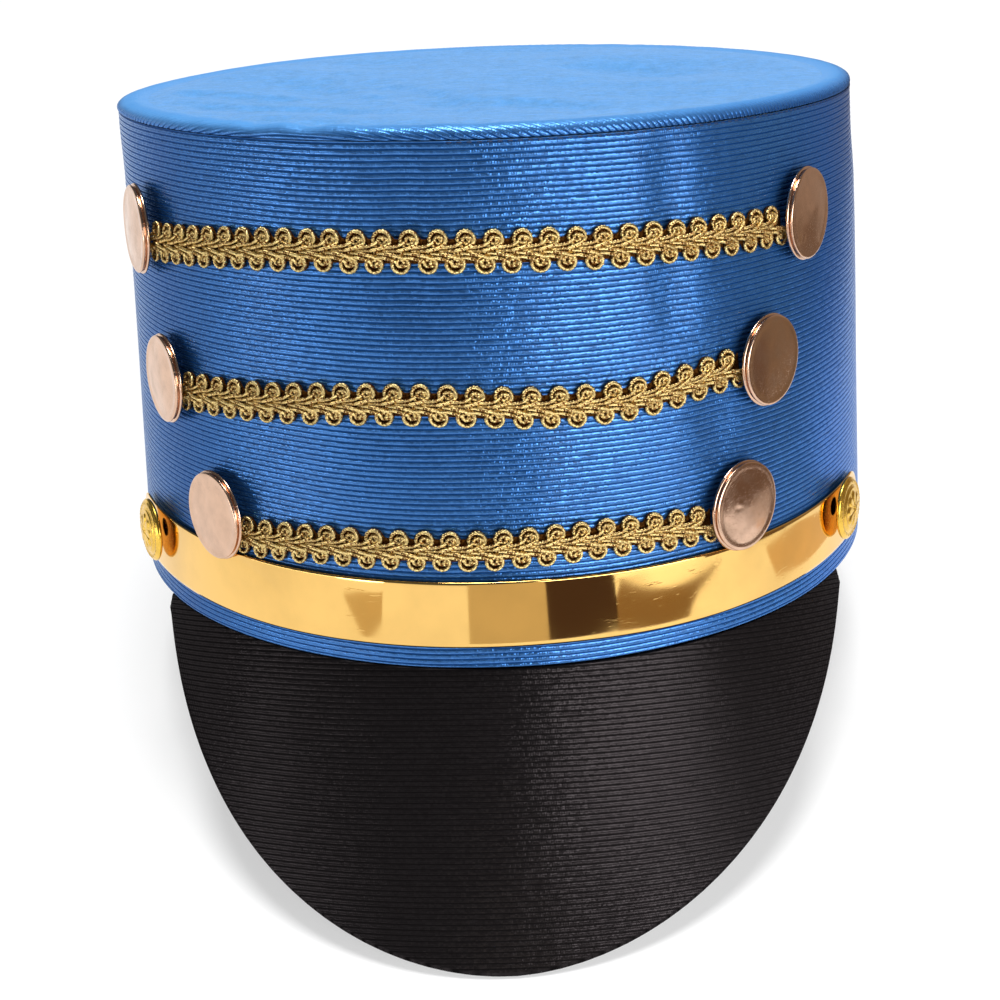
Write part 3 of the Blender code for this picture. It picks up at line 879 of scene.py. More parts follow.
def board_material(colour):
    """Off-white stiffened board with a pressed, fibrous face."""
    material, tree, shader = new_material("pressed_board", 0.85)
    place = add_node(tree, "ShaderNodeTexCoord").outputs["Object"]
    fibres = add_node(tree, "ShaderNodeTexNoise",
                      {"Vector": place, "Scale": 900.0, "Detail": 6.0, "Roughness": 0.7})
    stains = add_node(tree, "ShaderNodeTexNoise", {"Vector": place, "Scale": 30.0, "Detail": 2.0})
    tone = maths(tree, "MULTIPLY_ADD", fibres.outputs["Fac"], 0.6,
                 maths(tree, "MULTIPLY", stains.outputs["Fac"], 0.4))
    tree.links.new(mix_colours(tree, tone, opaque(colour, 0.72), opaque(colour)),
                   shader.inputs["Base Color"])
    add_relief(tree, shader, fibres.outputs["Fac"], 0.0001, 0.8)
    return material


def before_back(angle):
    """Return 1 round the hat and a smooth fall to 0 at the back, where the cloth's two ends meet."""
    return smooth_step(180.0, 160.0, np.abs(np.degrees(angle)))


def wall_waves(angle, height):
    """Return how far the crown's board stands in or out of its plain oval."""
    share, turn = height / CROWN.height, np.degrees(angle)
    uneven = soft_noise(angle * CROWN.rim_width, height, 0.045, 11) * before_back(angle)
    total = WALL_UNEVENNESS * uneven - WALL_UNEVENNESS
    for wave in CROWN_WAVES:
        reach = smooth_step(wave.low, wave.low + WAVE_END, share)
        reach = reach * smooth_step(wave.high, wave.high - WAVE_END, share)
        total = total + wave.depth * reach * np.exp(-((turn - wave.angle) / wave.half_width) ** 2)
    return total


class HAT_OT_crown_cloth(bpy.types.Operator):
    """Wrap the crown in ribbed satin, from inside the rim up to the seam under the top"""

    bl_idname = "hat.crown_cloth"
    bl_label = "Crown cloth"

    def execute(self, context):
        cloth = context.scene.hat_cloth
        step = cloth.rib_pitch / ROWS_PER_RIB
        angle = round_crown(CROWN_COLUMNS)
        arcs = np.interp(angle, ANGLES, arcs_at(CROWN.height / 2.0))
        fold = CROWN.wall / 2.0
        line = []
        for row in range(int(cloth.hem / (2.0 * step))):
            line.append((-CROWN.wall - TINY, cloth.hem - row * 2.0 * step, INSIDE_RELIEF))
        for turn in np.linspace(0.0, pi, 9)[1:-1]:
            line.append((-fold * (1.0 + np.cos(turn)), fold * 0.5 * (1.0 - np.sin(turn)), FOLD_RELIEF))
        for height in np.arange(fold * 0.5, CROWN.height + INTO_SEAM, step):
            line.append((0.0, height, 1.0))
        offset, height, relief = np.array(line).T[:, :, None]
        flat = np.concatenate([[0.0], np.cumsum(np.hypot(np.diff(offset[:, 0]), np.diff(height[:, 0])))])
        flat = np.round(flat / step) * step
        across = flat[:, None] + 0.00010 * before_back(angle) * soft_noise(arcs, height, 0.020, 5)
        full = smooth_step(*FULL_RIBS[:2], arcs) * smooth_step(FULL_RIBS[3], FULL_RIBS[2], arcs)
        rib_height = cloth.rib_height * (FLAT_RIBS + (1.0 - FLAT_RIBS) * full)
        ribs = rib_height * rib_shape(across, cloth.rib_pitch)
        lift = relief * (ribs + wall_waves(angle, height))
        points = crown_points(angle, height, offset + lift)
        mesh = grid_mesh("crown_cloth", points, np.stack([arcs + 0.0 * across, across], axis=-1), True)
        satin = satin_material("blue_satin", cloth.crown_colour, cloth.crown_valley_shade, cloth,
                               cloth.rib_pitch, **CROWN_SATIN)
        piece = add_piece("crown_cloth", mesh, satin, ["crown_side"])
        return {"FINISHED"}


def rolled_satin(cloth):
    """The crown's satin, which passes over the rolled edge into the top's lighter colour: painted light
    where the cloth turns up to face the light.
    """
    material = satin_material("rolled_satin", cloth.crown_colour, cloth.crown_valley_shade, cloth,
                              cloth.rib_pitch, **CROWN_SATIN)
    tree = material.node_tree
    shader = tree.nodes["Principled BSDF"]
    flatness = add_node(tree, "ShaderNodeAttribute", attribute_name=FLATNESS).outputs["Fac"]
    steepness = maths(tree, "SUBTRACT", 1.0, flatness)
    for label, value in (("Roughness", TOP_SATIN["roughness"]), ("Coat Weight", 0.0)):
        upright = shader.inputs[label].links[0].from_socket
        turned = maths(tree, "MULTIPLY_ADD", flatness, value, maths(tree, "MULTIPLY", upright, steepness))
        tree.links.new(turned, shader.inputs[label])
    upright = shader.inputs["Base Color"].links[0].from_socket
    turned = opaque(cloth.top_lit_colour, 0.93)
    tree.links.new(mix_colours(tree, flatness, upright, turned), shader.inputs["Base Color"])
    tree.links.new(maths(tree, "MULTIPLY", steepness, CROWN_SATIN["metallic"]), shader.inputs["Metallic"])
    return material


class HAT_OT_top_cloth(bpy.types.Operator):
    """Lay the padded top over the crown, its cloth rolled over the edge and down into the seam"""

    bl_idname = "hat.top_cloth"
    bl_label = "Top cloth"

    def execute(self, context):
        cloth = context.scene.hat_cloth
        heights = level_points("crown_top")[:, 2]
        foot, rise = heights.min(), np.ptp(heights)
        roll = smooth_line(((-0.0004, -0.0003), (-0.0001, 0.0), (0.0, 0.22 * rise), (-0.0002, 0.55 * rise),
                            (-0.0010, 0.85 * rise), (-0.0023, 1.00 * rise), (-0.0040, 0.96 * rise),
                            (-cloth.roll_width, TOP_EDGE * rise)), ROLL_ROWS)
        self.add_roll(cloth, roll, foot, rise)
        self.add_flat(cloth, roll, foot, rise)
        return {"FINISHED"}

    def edge_points(self, angle, roll, foot, rise):
        """Return the rows of the rolled edge, which is lower and more drawn in behind and on the left."""
        turn = np.degrees(angle)
        behind = smooth_step(55.0, 120.0, np.abs(turn))
        left = np.exp(-((turn + 92.0) / 34.0) ** 2)
        offset, height = roll.T[:, :, None]
        up = smooth_step(0.0, 0.9 * rise, height)
        drawn_in = (0.0005 * behind + 0.0013 * left) * up
        lower = (0.36 * behind + 0.14 * left) * up
        flush = 0.00020 * smooth_step(10.0, -20.0, turn)
        offset = offset + flush + wall_waves(angle, CROWN.height) - drawn_in
        points = crown_points(angle, CROWN.height, offset)
        points[..., 2] = foot + height * (1.0 - lower)
        points[..., 2] += up * self.puckers(angle)
        return points

    def along_ribs(self, cloth, x, y):
        """Return how far places lie along the top's ribs and across them."""
        way = cloth.rib_direction
        return np.cos(way) * x + np.sin(way) * y, -np.sin(way) * x + np.cos(way) * y

    def puckers(self, angle):
        """Return the small puckers where the cloth is gathered in, strongest on the front's left."""
        where = 0.06 + 0.94 * np.exp(-((np.degrees(angle) + 38.0) / 30.0) ** 2)
        puckers = soft_noise(angle * CROWN.seam_width, 0.0 * angle, 0.0065, 3)
        return 0.00026 * where * before_back(angle) * puckers

    def add_roll(self, cloth, roll, foot, rise):
        """Roll the ribbed cloth over the edge."""
        angle = round_crown(ROLL_COLUMNS)
        points = self.edge_points(angle, roll, foot, rise)
        drop = np.concatenate([np.cumsum(np.hypot(*np.diff(roll[::-1], axis=0).T))[::-1], [0.0]])
        inner = points[-1] - np.array([CROWN.lean, 0.0, 0.0])
        spread = 1.0 + drop[:, None] / np.hypot(inner[:, 0], inner[:, 1])
        x, y = inner[:, 0] * spread, inner[:, 1] * spread
        along, across = self.along_ribs(cloth, x, y)
        across = across + 0.00010 * soft_noise(x, y, 0.020, 12)
        out = np.cross(np.gradient(points, axis=1), np.gradient(points, axis=0))
        out /= np.maximum(np.linalg.norm(out, axis=-1, keepdims=True), TINY ** 2)
        share = np.linspace(0.0, 1.0, len(points))[:, None]
        fade = smooth_step(0.0, 0.12, share) * smooth_step(1.0, 0.55, share)
        points += out * (fade * cloth.rib_height * rib_shape(across, cloth.rib_pitch))[..., None]
        mesh = grid_mesh("top_roll", points, np.stack([along, across], axis=-1))
        # How far the roll takes on the top's painted light, sooner on the left
        flatness = mesh.attributes.new(FLATNESS, "FLOAT", "POINT")
        left = smooth_step(0.0, -45.0, np.degrees(angle)) * smooth_step(-170.0, -130.0, np.degrees(angle))
        lie = smooth_step(0.24 - 0.10 * left, 0.84 - 0.28 * left, share)
        flatness.data.foreach_set("value", lie.astype(np.float32).ravel())
        weld(mesh)
        piece = add_piece("top_roll", mesh, rolled_satin(cloth), ["crown_top"])

    def add_flat(self, cloth, roll, foot, rise):
        """Stretch the flat of the top inside the roll, with its creases."""
        angle = round_crown(TOP_COLUMNS)
        edge = self.edge_points(angle, roll, foot, rise)[-1]
        middle = np.array([CROWN.lean, 0.0, foot + TOP_LEVEL * rise])
        share = np.linspace(1.0, 0.0, TOP_ROWS)[:, None, None]
        points = middle + (edge - middle) * share
        away = 1.0 - share[..., 0]
        x, y = points[..., 0], points[..., 1]
        level = middle[2] + (TOP_EDGE - TOP_LEVEL) * rise * np.exp(-(away / 0.08) ** 2)
        held = np.exp(-(away / 0.06) ** 2)
        points[..., 2] = level + (points[..., 2] - level) * held
        loose = smooth_step(0.0, 0.10, away)
        sunk = np.zeros(x.shape)
        for crease in TOP_CREASES:
            start = (crease.start[0] * CROWN.seam_width, crease.start[1] * CROWN.seam_depth)
            end = (crease.end[0] * CROWN.seam_width, crease.end[1] * CROWN.seam_depth)
            gap, place = near_line(x, y, start, end)
            fade = np.sin(pi * np.clip(place, 0.04, 0.96))
            sunk += crease.depth * fade * np.exp(-(gap / crease.spread) ** 2)
        points[..., 2] -= loose * TOP_GIVE * np.tanh(sunk / TOP_GIVE)
        swells = 0.00040 * soft_noise(x, y, 0.030, 8)
        ripples = 0.00009 * soft_noise(x, y, 0.008, 15)
        points[..., 2] += loose * (swells + ripples)
        mesh = grid_mesh("top_cloth", points, np.stack(self.along_ribs(cloth, x, y), axis=-1), True)
        # The blue between the top's ribs is darkened with painted shade
        valley = opaque(cloth.top_lit_colour, 0.80)[:3]
        satin = satin_material("blue_satin_top", cloth.top_lit_colour, valley, cloth, cloth.rib_pitch,
                               **TOP_SATIN)
        piece = add_piece("top_cloth", mesh, satin, ["crown_top"])


class HAT_OT_seam(bpy.types.Operator):
    """Sew the top to the crown on the right with a row of small dark stitches"""

    bl_idname = "hat.seam"
    bl_label = "Seam"

    def execute(self, context):
        stitch, gap, thickness, under = 0.0012, 0.0019, 0.00016, 0.00035
        turn = np.linspace(0.0, tau, 7)
        place = np.linspace(-1.0, 1.0, 7)[:, None]
        size = thickness * np.sqrt(np.maximum(1.0 - place ** 4, 0.0))
        arcs_there = arcs_at(CROWN.height)
        tubes = []
        for arc in np.arange(0.0, arcs_there[-1], gap):
            arcs = arc + stitch / 2.0 * place + 0.0 * turn
            angle = np.interp(arcs, arcs_there, ANGLES)
            height = CROWN.height - under + size * np.sin(turn)
            ring = crown_points(angle, height, wall_waves(angle, height) + size * np.cos(turn))
            tubes.append((ring, np.stack([arcs, 0.0 * arcs + turn], axis=-1)))
        material, _, shader = new_material("seam_thread", 0.6)
        shader.inputs["Base Color"].default_value = (0.004, 0.022, 0.085, 1.0)
        add_piece("seam_stitches", tubes_mesh("seam_stitches", tubes), material)
        return {"FINISHED"}


class HAT_OT_lining(bpy.types.Operator):
    """Line the inside: the board's wall above the turned-in hem, and the ceiling under the top"""

    bl_idname = "hat.lining"
    bl_label = "Inner board"

    def execute(self, context):
        cloth = context.scene.hat_cloth
        angle = round_crown(LINING_COLUMNS)
        inset = -CROWN.wall - TINY / 2.0
        ceiling = CROWN.height - 0.0004
        wall = crown_points(angle, ceiling, inset)
        middle = np.array([CROWN.lean, 0.0, ceiling])
        rows = [middle + (wall - middle) * share for share in np.linspace(0.0, 0.985, 24)]
        for height in np.linspace(ceiling - 0.001, cloth.hem * 0.6, 44):
            rows.append(crown_points(angle, height, inset))
        points = np.array(rows)
        ripple = 0.00025 * soft_noise(angle * CROWN.rim_width, points[..., 2], 0.030, 21)
        outward = points - middle
        outward[..., 2] = 0.0
        outward /= np.maximum(np.linalg.norm(outward, axis=-1, keepdims=True), TINY)
        on_wall = smooth_step(20.0, 30.0, np.arange(len(points)))[:, None]
        points -= outward * (np.abs(ripple) * on_wall)[..., None]
        flat = np.stack([points[..., 0], points[..., 1] + points[..., 2]], axis=-1)
        mesh = grid_mesh("inner_board", points, flat, True)
        add_piece("inner_board", mesh, board_material(tuple(cloth.lining_colour)))
        return {"FINISHED"}


class HAT_OT_peak(bpy.types.Operator):
    """Cover the peak in black ribbed satin, its ribs straight across the flat sheet"""

    bl_idname = "hat.peak"
    bl_label = "Peak"

    def execute(self, context):
        cloth = context.scene.hat_cloth
        sheet = measure_peak()
        share = np.linspace(-1.0, 1.0, PEAK_COLUMNS + 1)
        shares = np.interp(sheet.angle, (sheet.angle[0], sheet.angle[-1]), (-1.0, 1.0))
        angle = np.interp(share, (-1.0, 1.0), (sheet.angle[0] - PEAK_SIDE_LEFT,
                                               sheet.angle[-1] + PEAK_SIDE_RIGHT))
        length = np.interp(share, shares, sheet.length) + PEAK_EDGE
        rim = crown_points(angle, 0.0, sheet.rim_offset)
        rim[:, 2] = sheet.rim_height
        edge = crown_points(angle, 0.0, sheet.rim_offset + length * np.cos(sheet.slope))
        edge[:, 2] = sheet.rim_height - length * np.sin(sheet.slope)
        flat_rim, flat_edge = unroll(rim, edge)
        down = (edge - rim) / length[:, None]
        out = np.cross(np.gradient(rim + edge, axis=0), -down)
        out /= np.linalg.norm(out, axis=1, keepdims=True)
        radius = sheet.thickness / 2.0 * np.sqrt(np.maximum(1.0 - np.abs(share) ** 14, 0.001))[:, None]
        inside = -CROWN.wall + sheet.rim_height
        tuck = crown_points(angle, sheet.tuck, inside)
        foot = crown_points(angle, sheet.rim_height, inside)
        back_tuck = crown_points(angle, sheet.tuck, inside - sheet.thickness)
        fold = rim - out * 2.0 * radius + down * np.minimum(0.0025, 0.5 * length)[:, None]
        tip = edge - down * radius
        under_tip = tip - out * 2.0 * radius
        points, flats, relief = [], [], []

        def lay(start, end, flat_start, flat_end, shares, rise):
            for part in shares:
                points.append(start + (end - start) * part)
                flats.append(flat_start + (flat_end - flat_start) * part)
                relief.append(rise)

        lay(back_tuck, fold, flat_rim, flat_rim, np.linspace(0.0, 1.0, 8, endpoint=False), 0.0)
        lay(fold, under_tip, flat_rim, flat_edge, np.linspace(0.0, 1.0, 60, endpoint=False), 0.0)
        for turn in np.linspace(0.0, pi, 9)[:-1]:
            points.append(tip - out * radius * (1.0 + np.cos(turn)) + down * radius * np.sin(turn))
            flats.append(flat_edge)
            relief.append(0.0)
        rows = int(length.max() / cloth.peak_rib_pitch * ROWS_PER_RIB)
        lay(tip, rim, flat_edge, flat_rim, np.linspace(0.0, 1.0, rows), 1.0)
        lay(rim, foot, flat_rim, flat_rim, np.linspace(0.1, 1.0, 4), 0.0)
        lay(foot, tuck, flat_rim, flat_rim, np.linspace(0.2, 1.0, 4), 0.0)
        lay(tuck, back_tuck, flat_rim, flat_rim, (0.5, 1.0), 0.0)
        points, flats, relief = np.array(points), np.array(flats), np.array(relief)[:, None]
        x, across = flats[..., 0], flats[..., 1]
        across = across + 0.00008 * soft_noise(x, across, 0.03, 6)
        lift = cloth.peak_rib_height * (rib_shape(across, cloth.peak_rib_pitch) - 0.5)
        wave = 0.00025 * soft_noise(x, across, 0.05, 9)
        points += out[None] * (relief * (lift + wave))[..., None]
        mesh = grid_mesh("peak_cloth", points, np.stack([x, across], axis=-1), True)
        # The black between the peak's ribs is darkened with painted shade
        valley = opaque(cloth.peak_colour, 0.35)[:3]
        satin = satin_material("black_satin", cloth.peak_colour, valley, cloth, cloth.peak_rib_pitch,
                               **PEAK_SATIN)
        piece = add_piece("peak_cloth", mesh, satin, ["peak"])
        return {"FINISHED"}


PeakSheet = namedtuple("PeakSheet", "angle length slope thickness tuck rim_offset rim_height")


def measure_peak():
    """Read the peak's columns, its lengths under the rim, slope, thickness and tuck from its node."""
    corners = level_points("peak")
    angle, offset = crown_feet(corners)
    under = np.abs(corners[:, 2] + RING_HEIGHT / 2.0) < RING_HEIGHT / 2.0
    rim_offset, rim_height = offset[under].max(), corners[under, 2].mean()
    upper = corners[:, 2] > RING_HEIGHT
    low = np.flatnonzero(corners[:, 2] < -RING_HEIGHT)
    low = low[np.argsort(angle[low])]
    columns = np.split(low, np.flatnonzero(np.diff(angle[low]) > 0.01) + 1)
    tips = np.array([column[offset[column].argmax()] for column in columns])
    reach, drop = offset[tips] - rim_offset, rim_height - corners[tips, 2]
    length = np.hypot(reach, drop)
    slope = np.arctan2(drop[length.argmax()], reach[length.argmax()])
    return PeakSheet(angle[tips], length, slope, np.ptp(offset[upper]), corners[:, 2].max(),
                     rim_offset, rim_height)


def unroll(rim, edge):
    """Return the rim's and the free edge's points on the flat sheet, the front's line upright."""
    count, middle = len(rim), len(rim) // 2
    flat_rim, flat_edge = np.zeros((count, 2)), np.zeros((count, 2))
    flat_edge[middle] = (0.0, -np.linalg.norm(edge[middle] - rim[middle]))
    for side, last in ((1, count - 1), (-1, 0)):
        for index in range(middle, last, side):
            for points, flats in ((rim, flat_rim), (edge, flat_edge)):
                base, flat_base = edge[index] - rim[index], flat_edge[index] - flat_rim[index]
                unit = flat_base / np.linalg.norm(flat_base)
                gap = points[index + side] - rim[index]
                along = gap @ base / np.linalg.norm(base)
                away = np.sqrt(max(gap @ gap - along * along, 0.0))
                flats[index + side] = flat_rim[index] + unit * along \
                    + side * away * np.array([-unit[1], unit[0]])
    return flat_rim, flat_edge


class HAT_OT_strap(bpy.types.Operator):
    """Run the mirror gold strap round the front, with its few creases"""

    bl_idname = "hat.strap"
    bl_label = "Strap"

    def execute(self, context):
        band = measure_band("strap", 0.006)
        half, thickness, curl = band.width / 2.0, 0.00050, 0.00007
        arcs = np.linspace(band.start, band.end, STRAP_COLUMNS + 1)
        inset = np.minimum(arcs - band.start, band.end - arcs)
        share = np.sqrt(np.clip(1.0 - (1.0 - np.clip(inset / half, 0.0, 1.0)) ** 2, 0.0, 1.0))
        share = np.maximum(share, 0.02)

        def row(rise, offset):
            return np.stack([arcs, rise * share, np.full_like(arcs, offset)], axis=-1)

        points = np.array([row(side * half, band.face - curl * side ** 24)
                           for side in np.linspace(-1.0, 1.0, STRAP_ROWS)])
        self.crease(points, band)
        back = [row(side * (half - 0.0001), band.face - thickness) for side in np.linspace(1.0, -1.0, 7)]
        points = np.concatenate([points, np.array(back), points[:1]])
        mesh = grid_mesh("strap_foil", bend(points, band), points[..., :2], True)
        foil = metal_material("gold_foil", context.scene.hat_metal.foil, 0.045,
                              scale=60.0, scratch=0.000004, smudge=0.05)
        piece = add_piece("strap_foil", mesh, foil, ["strap"])
        return {"FINISHED"}

    def crease(self, points, band):
        """Fold faint creases and long waves into the strap's face."""
        half = band.width / 2.0
        arcs, rise = points[..., 0], points[..., 1]
        for crease in STRAP_CREASES:
            start = (crease.start[0], (2.0 * crease.start[1] - 1.0) * half)
            end = (crease.end[0], (2.0 * crease.end[1] - 1.0) * half)
            away, _ = near_line(arcs, rise, start, end)
            points[..., 2] -= crease.depth * np.exp(-(away / crease.spread) ** 2)
        points[..., 2] += 0.00012 * soft_noise(arcs, 0.25 * rise, 0.024, 14)


class HAT_OT_braids(bpy.types.Operator):
    """Plait the three gold braids: a row of wound scrolls along each edge, joined by slanting strands"""

    bl_idname = "hat.braids"
    bl_label = "Braids"

    def execute(self, context):
        settings = context.scene.hat_braid
        thread = braid_material(settings)
        ground = ground_material()
        for seed, node in enumerate(("braid_upper", "braid_middle", "braid_lower"), 40):
            band = measure_band(node, settings.scroll_pitch * 0.6)
            cords = self.cords(band, settings, np.random.default_rng(seed))
            mesh = tubes_mesh(node + "_cords", [(bend(rings, band), flat) for rings, flat in cords])
            add_piece(node + "_cords", mesh, thread, [node])
            self.add_ground(node, band, settings, ground)
        return {"FINISHED"}

    def add_ground(self, node, band, settings, material):
        """Lay the dark ground under a braid, which shows as painted shade between its cords: one strip
        whose edges follow the scrolls.
        """
        pitch = self.pitch(band, settings)
        arcs = np.arange(band.start, band.end, pitch / 12.0)
        ring = RING_RADIUS + settings.cord_diameter / 4.0
        centre = band.width / 2.0 - RING_RADIUS - settings.cord_diameter / 2.0
        rows = []
        for side in (1.0, -1.0):
            away = (arcs - band.start) / pitch - self.shift(side, settings)
            away = np.abs(away - np.round(away)) * pitch
            edge = centre + np.sqrt(np.maximum(ring ** 2 - away ** 2, 0.0))
            rows.append(side * edge)
        shares = np.linspace(0.0, 1.0, 9)[:, None]
        rise = rows[1] + (rows[0] - rows[1]) * shares
        face = 0.00022 + GROUND_HEIGHT * np.sin(pi * shares)
        points = np.stack(np.broadcast_arrays(arcs, rise, face), axis=-1)
        back = points[::8].copy()[::-1]
        back[..., 2] = TINY
        points = np.concatenate([points, back, points[:1]])
        mesh = grid_mesh(node + "_ground", bend(points, band), points[..., :2], False)
        add_piece(node + "_ground", mesh, material, [node])

    def pitch(self, band, settings):
        """Return the pitch that fits whole scrolls between the braid's ends."""
        return (band.end - band.start) / max(1, round((band.end - band.start) / settings.scroll_pitch))

    def shift(self, side, settings):
        """Return how far the first scroll of an edge stands from the braid's end, in pitches."""
        return 0.25 if side > 0.0 else 0.25 - settings.scroll_stagger

    def cords(self, band, settings, draw):
        """Return every cord of a braid as a flat tube (arc, rise, offset) with its map."""
        pitch = self.pitch(band, settings)
        count = round((band.end - band.start) / pitch)
        cord, strand = settings.cord_diameter / 2.0, settings.strand_diameter / 2.0
        made = []
        for side in (1.0, -1.0):
            for index in range(count + 1):
                arc = band.start + (index + self.shift(side, settings)) * pitch
                if not band.start - 0.001 < arc < band.end + 0.001:
                    continue
                size = draw.uniform(0.96, 1.04)
                middle = (arc + draw.normal(0.0, 0.00008), band.width / 2.0 + draw.normal(0.0, 0.00006))
                path = self.scroll_path(middle, cord, size, draw.uniform(-0.3, 0.3))
                made.append(self.tube(path, cord, side, settings, draw.uniform(0.0, tau)))
                path = smooth_line(self.cord_points(middle, strand, STRAND_LINE), STRAND_STEPS)
                made.append(self.tube(path, strand, side, settings, draw.uniform(0.0, tau)))
        return made

    def cord_points(self, middle, radius, line):
        """Return the points of a cord's way (arc, rise, offset) beside a scroll's middle."""
        return [(middle[0] + point.along, point.rise, GROUND_HEIGHT + radius + point.lift)
                for point in line]

    def scroll_path(self, middle, cord, size, turn):
        """Return the way of one cord: a slanting strand that rises into a ring and winds in on itself."""
        ring = RING_RADIUS * size
        coil = COIL_RADIUS * size
        arc, edge = middle
        rise = edge - ring - cord
        base = GROUND_HEIGHT + cord
        entry = radians(-35.0)
        into_ring = (arc + ring * np.cos(entry), rise + ring * np.sin(entry), base + 0.0002)
        strand = smooth_line([*self.cord_points(middle, cord, SCROLL_LINE), into_ring], RISE_STEPS)
        around = np.linspace(entry, entry + tau * 0.93, RING_STEPS)[1:]
        loop = np.column_stack([arc + ring * np.cos(around), rise + ring * np.sin(around),
                                base + 0.0002 * np.exp(-(around - entry) * 2.0)])
        inward = np.linspace(around[-1], around[-1] + tau * 1.35 + turn, COIL_STEPS)[1:]
        share = np.linspace(0.0, 1.0, len(inward))
        radius = ring + (coil - ring) * smooth_step(0.0, 0.26, share)
        radius *= 1.0 - 0.7 * smooth_step(0.86, 1.0, share)
        drop = -0.00020 * smooth_step(0.0, 0.3, share)
        wound = np.column_stack([arc + radius * np.cos(inward), rise + drop + radius * np.sin(inward),
                                 base - 0.00012 * smooth_step(0.0, 0.25, share)])
        return np.concatenate([strand, loop, wound])

    def tube(self, path, radius, side, settings, phase):
        """Return the rings of a twisted cord round a path, and their map."""
        ahead = np.gradient(path, axis=0)
        ahead /= np.linalg.norm(ahead, axis=1, keepdims=True)
        sideways = np.cross(ahead, (0.0, 0.0, 1.0))
        sideways /= np.linalg.norm(sideways, axis=1, keepdims=True)
        over = np.cross(sideways, ahead)
        length = np.concatenate([[0.0], np.cumsum(np.linalg.norm(np.diff(path, axis=0), axis=1))])
        turn = np.arange(CORD_SIDES + 1) / CORD_SIDES * tau
        lobes = settings.plies * (turn[None] - tau * length[:, None] / settings.twist_length) + phase
        size = radius * (0.82 + 0.18 * np.cos(lobes))
        size[0], size[-1] = 0.0, 0.0
        ring = (path[:, None] + (size * np.cos(turn))[..., None] * sideways[:, None]
                + (size * np.sin(turn))[..., None] * over[:, None])
        ring[..., 1] *= side
        if side < 0.0:
            ring = ring[:, ::-1]
        flat = np.stack(np.broadcast_arrays(length[:, None], turn[None] / tau), axis=-1)
        return ring, flat


def add_button(node, line, rows, relief, metal):
    """Turn a button where its solid stands, with a relief pressed into its face.

    relief(across, up, radius share) returns how far places on the face stand out.
    """
    seat = measure_seat(node)
    outline = smooth_line([(point.radius, point.height) for point in line], rows)
    turn = np.linspace(0.0, tau, BUTTON_TURNS + 1)
    radius = seat.radius * outline[:, :1] / outline[:, 0].max()
    across, up = radius * np.cos(turn), radius * np.sin(turn)
    height = seat.back + (seat.face - seat.back) * outline[:, 1:]
    face = smooth_step(0.30, 0.60, np.linspace(0.0, 1.0, rows))[:, None]
    height = height + face * relief(across, up, radius / seat.radius)
    flat = np.stack([across, up], axis=-1)
    local = np.stack([across, up, np.broadcast_to(height, across.shape)], axis=-1)
    matrix = np.array(seat.matrix)
    points = local @ matrix[:3, :3].T + matrix[:3, 3]
    mesh = grid_mesh(node + "_metal", points[:, ::-1], flat[:, ::-1], True)
    add_piece(node + "_metal", mesh, metal, [node])


class HAT_OT_braid_buttons(bpy.types.Operator):
    """Set a flat rose gold button over each end of the braids"""

    bl_idname = "hat.braid_buttons"
    bl_label = "Braid buttons"

    def execute(self, context):
        metal = metal_material("rose_gold", context.scene.hat_metal.rose_gold, 0.13,
                               scale=260.0, scratch=0.000018, smudge=0.12)
        nodes = sorted(name for name in frame["nodes"] if name.startswith("button_"))
        for seed, node in enumerate(nodes, 70):
            draw = np.random.default_rng(seed)
            dents = [(*draw.uniform(-0.0065, 0.0065, 2), draw.uniform(0.0003, 0.0007),
                      draw.uniform(0.00003, 0.00007)) for _ in range(4)]

            def relief(across, up, share, dents=dents, seed=seed):
                total = 0.00004 * soft_noise(across, up, 0.006, 20 + seed)
                for x, y, width, depth in dents:
                    total = total - depth * np.exp(-((across - x) ** 2 + (up - y) ** 2) / width ** 2)
                return total

            add_button(node, BRAID_BUTTON_LINE, BRAID_BUTTON_ROWS, relief, metal)
        return {"FINISHED"}


class HAT_OT_side_buttons(bpy.types.Operator):
    """Pin the strap with two domed yellow gold buttons, each with a rosette inside a rope edge"""

    bl_idname = "hat.side_buttons"
    bl_label = "Side buttons"

    def execute(self, context):
        metal = metal_material("yellow_gold", context.scene.hat_metal.yellow_gold, 0.20,
                               scale=300.0, scratch=0.00002, smudge=0.10)
        for node in ("side_button_left", "side_button_right"):
            add_button(node, SIDE_BUTTON_LINE, SIDE_BUTTON_ROWS, self.relief, metal)
        return {"FINISHED"}

    def relief(self, across, up, share):
        """A rosette of eight petals round a bead, a plain ring, and a rope at the edge."""
        turn = np.arctan2(up, across)
        petal = np.abs(np.cos(4.0 * turn)) ** 0.6
        reach = 0.26 + 0.30 * petal
        petals = smooth_step(reach + 0.05, reach - 0.05, share) * (0.55 + 0.45 * petal)
        bead = smooth_step(0.16, 0.06, share)
        ring = np.exp(-((share - 0.66) / 0.030) ** 2)
        strands = 0.35 + 0.65 * np.abs(np.sin(22.0 * turn + 14.0 * share))
        rope = np.exp(-((share - 0.86) / 0.060) ** 2) * strands
        return 0.00028 * petals + 0.00022 * bead + 0.00016 * ring + 0.00032 * rope


def seen_from(azimuth, elevation):
    """Return the direction from the hat to a place, by its azimuth to the right and its elevation."""
    return Vector((np.sin(azimuth) * np.cos(elevation), -np.cos(azimuth) * np.cos(elevation),
                   np.sin(elevation)))


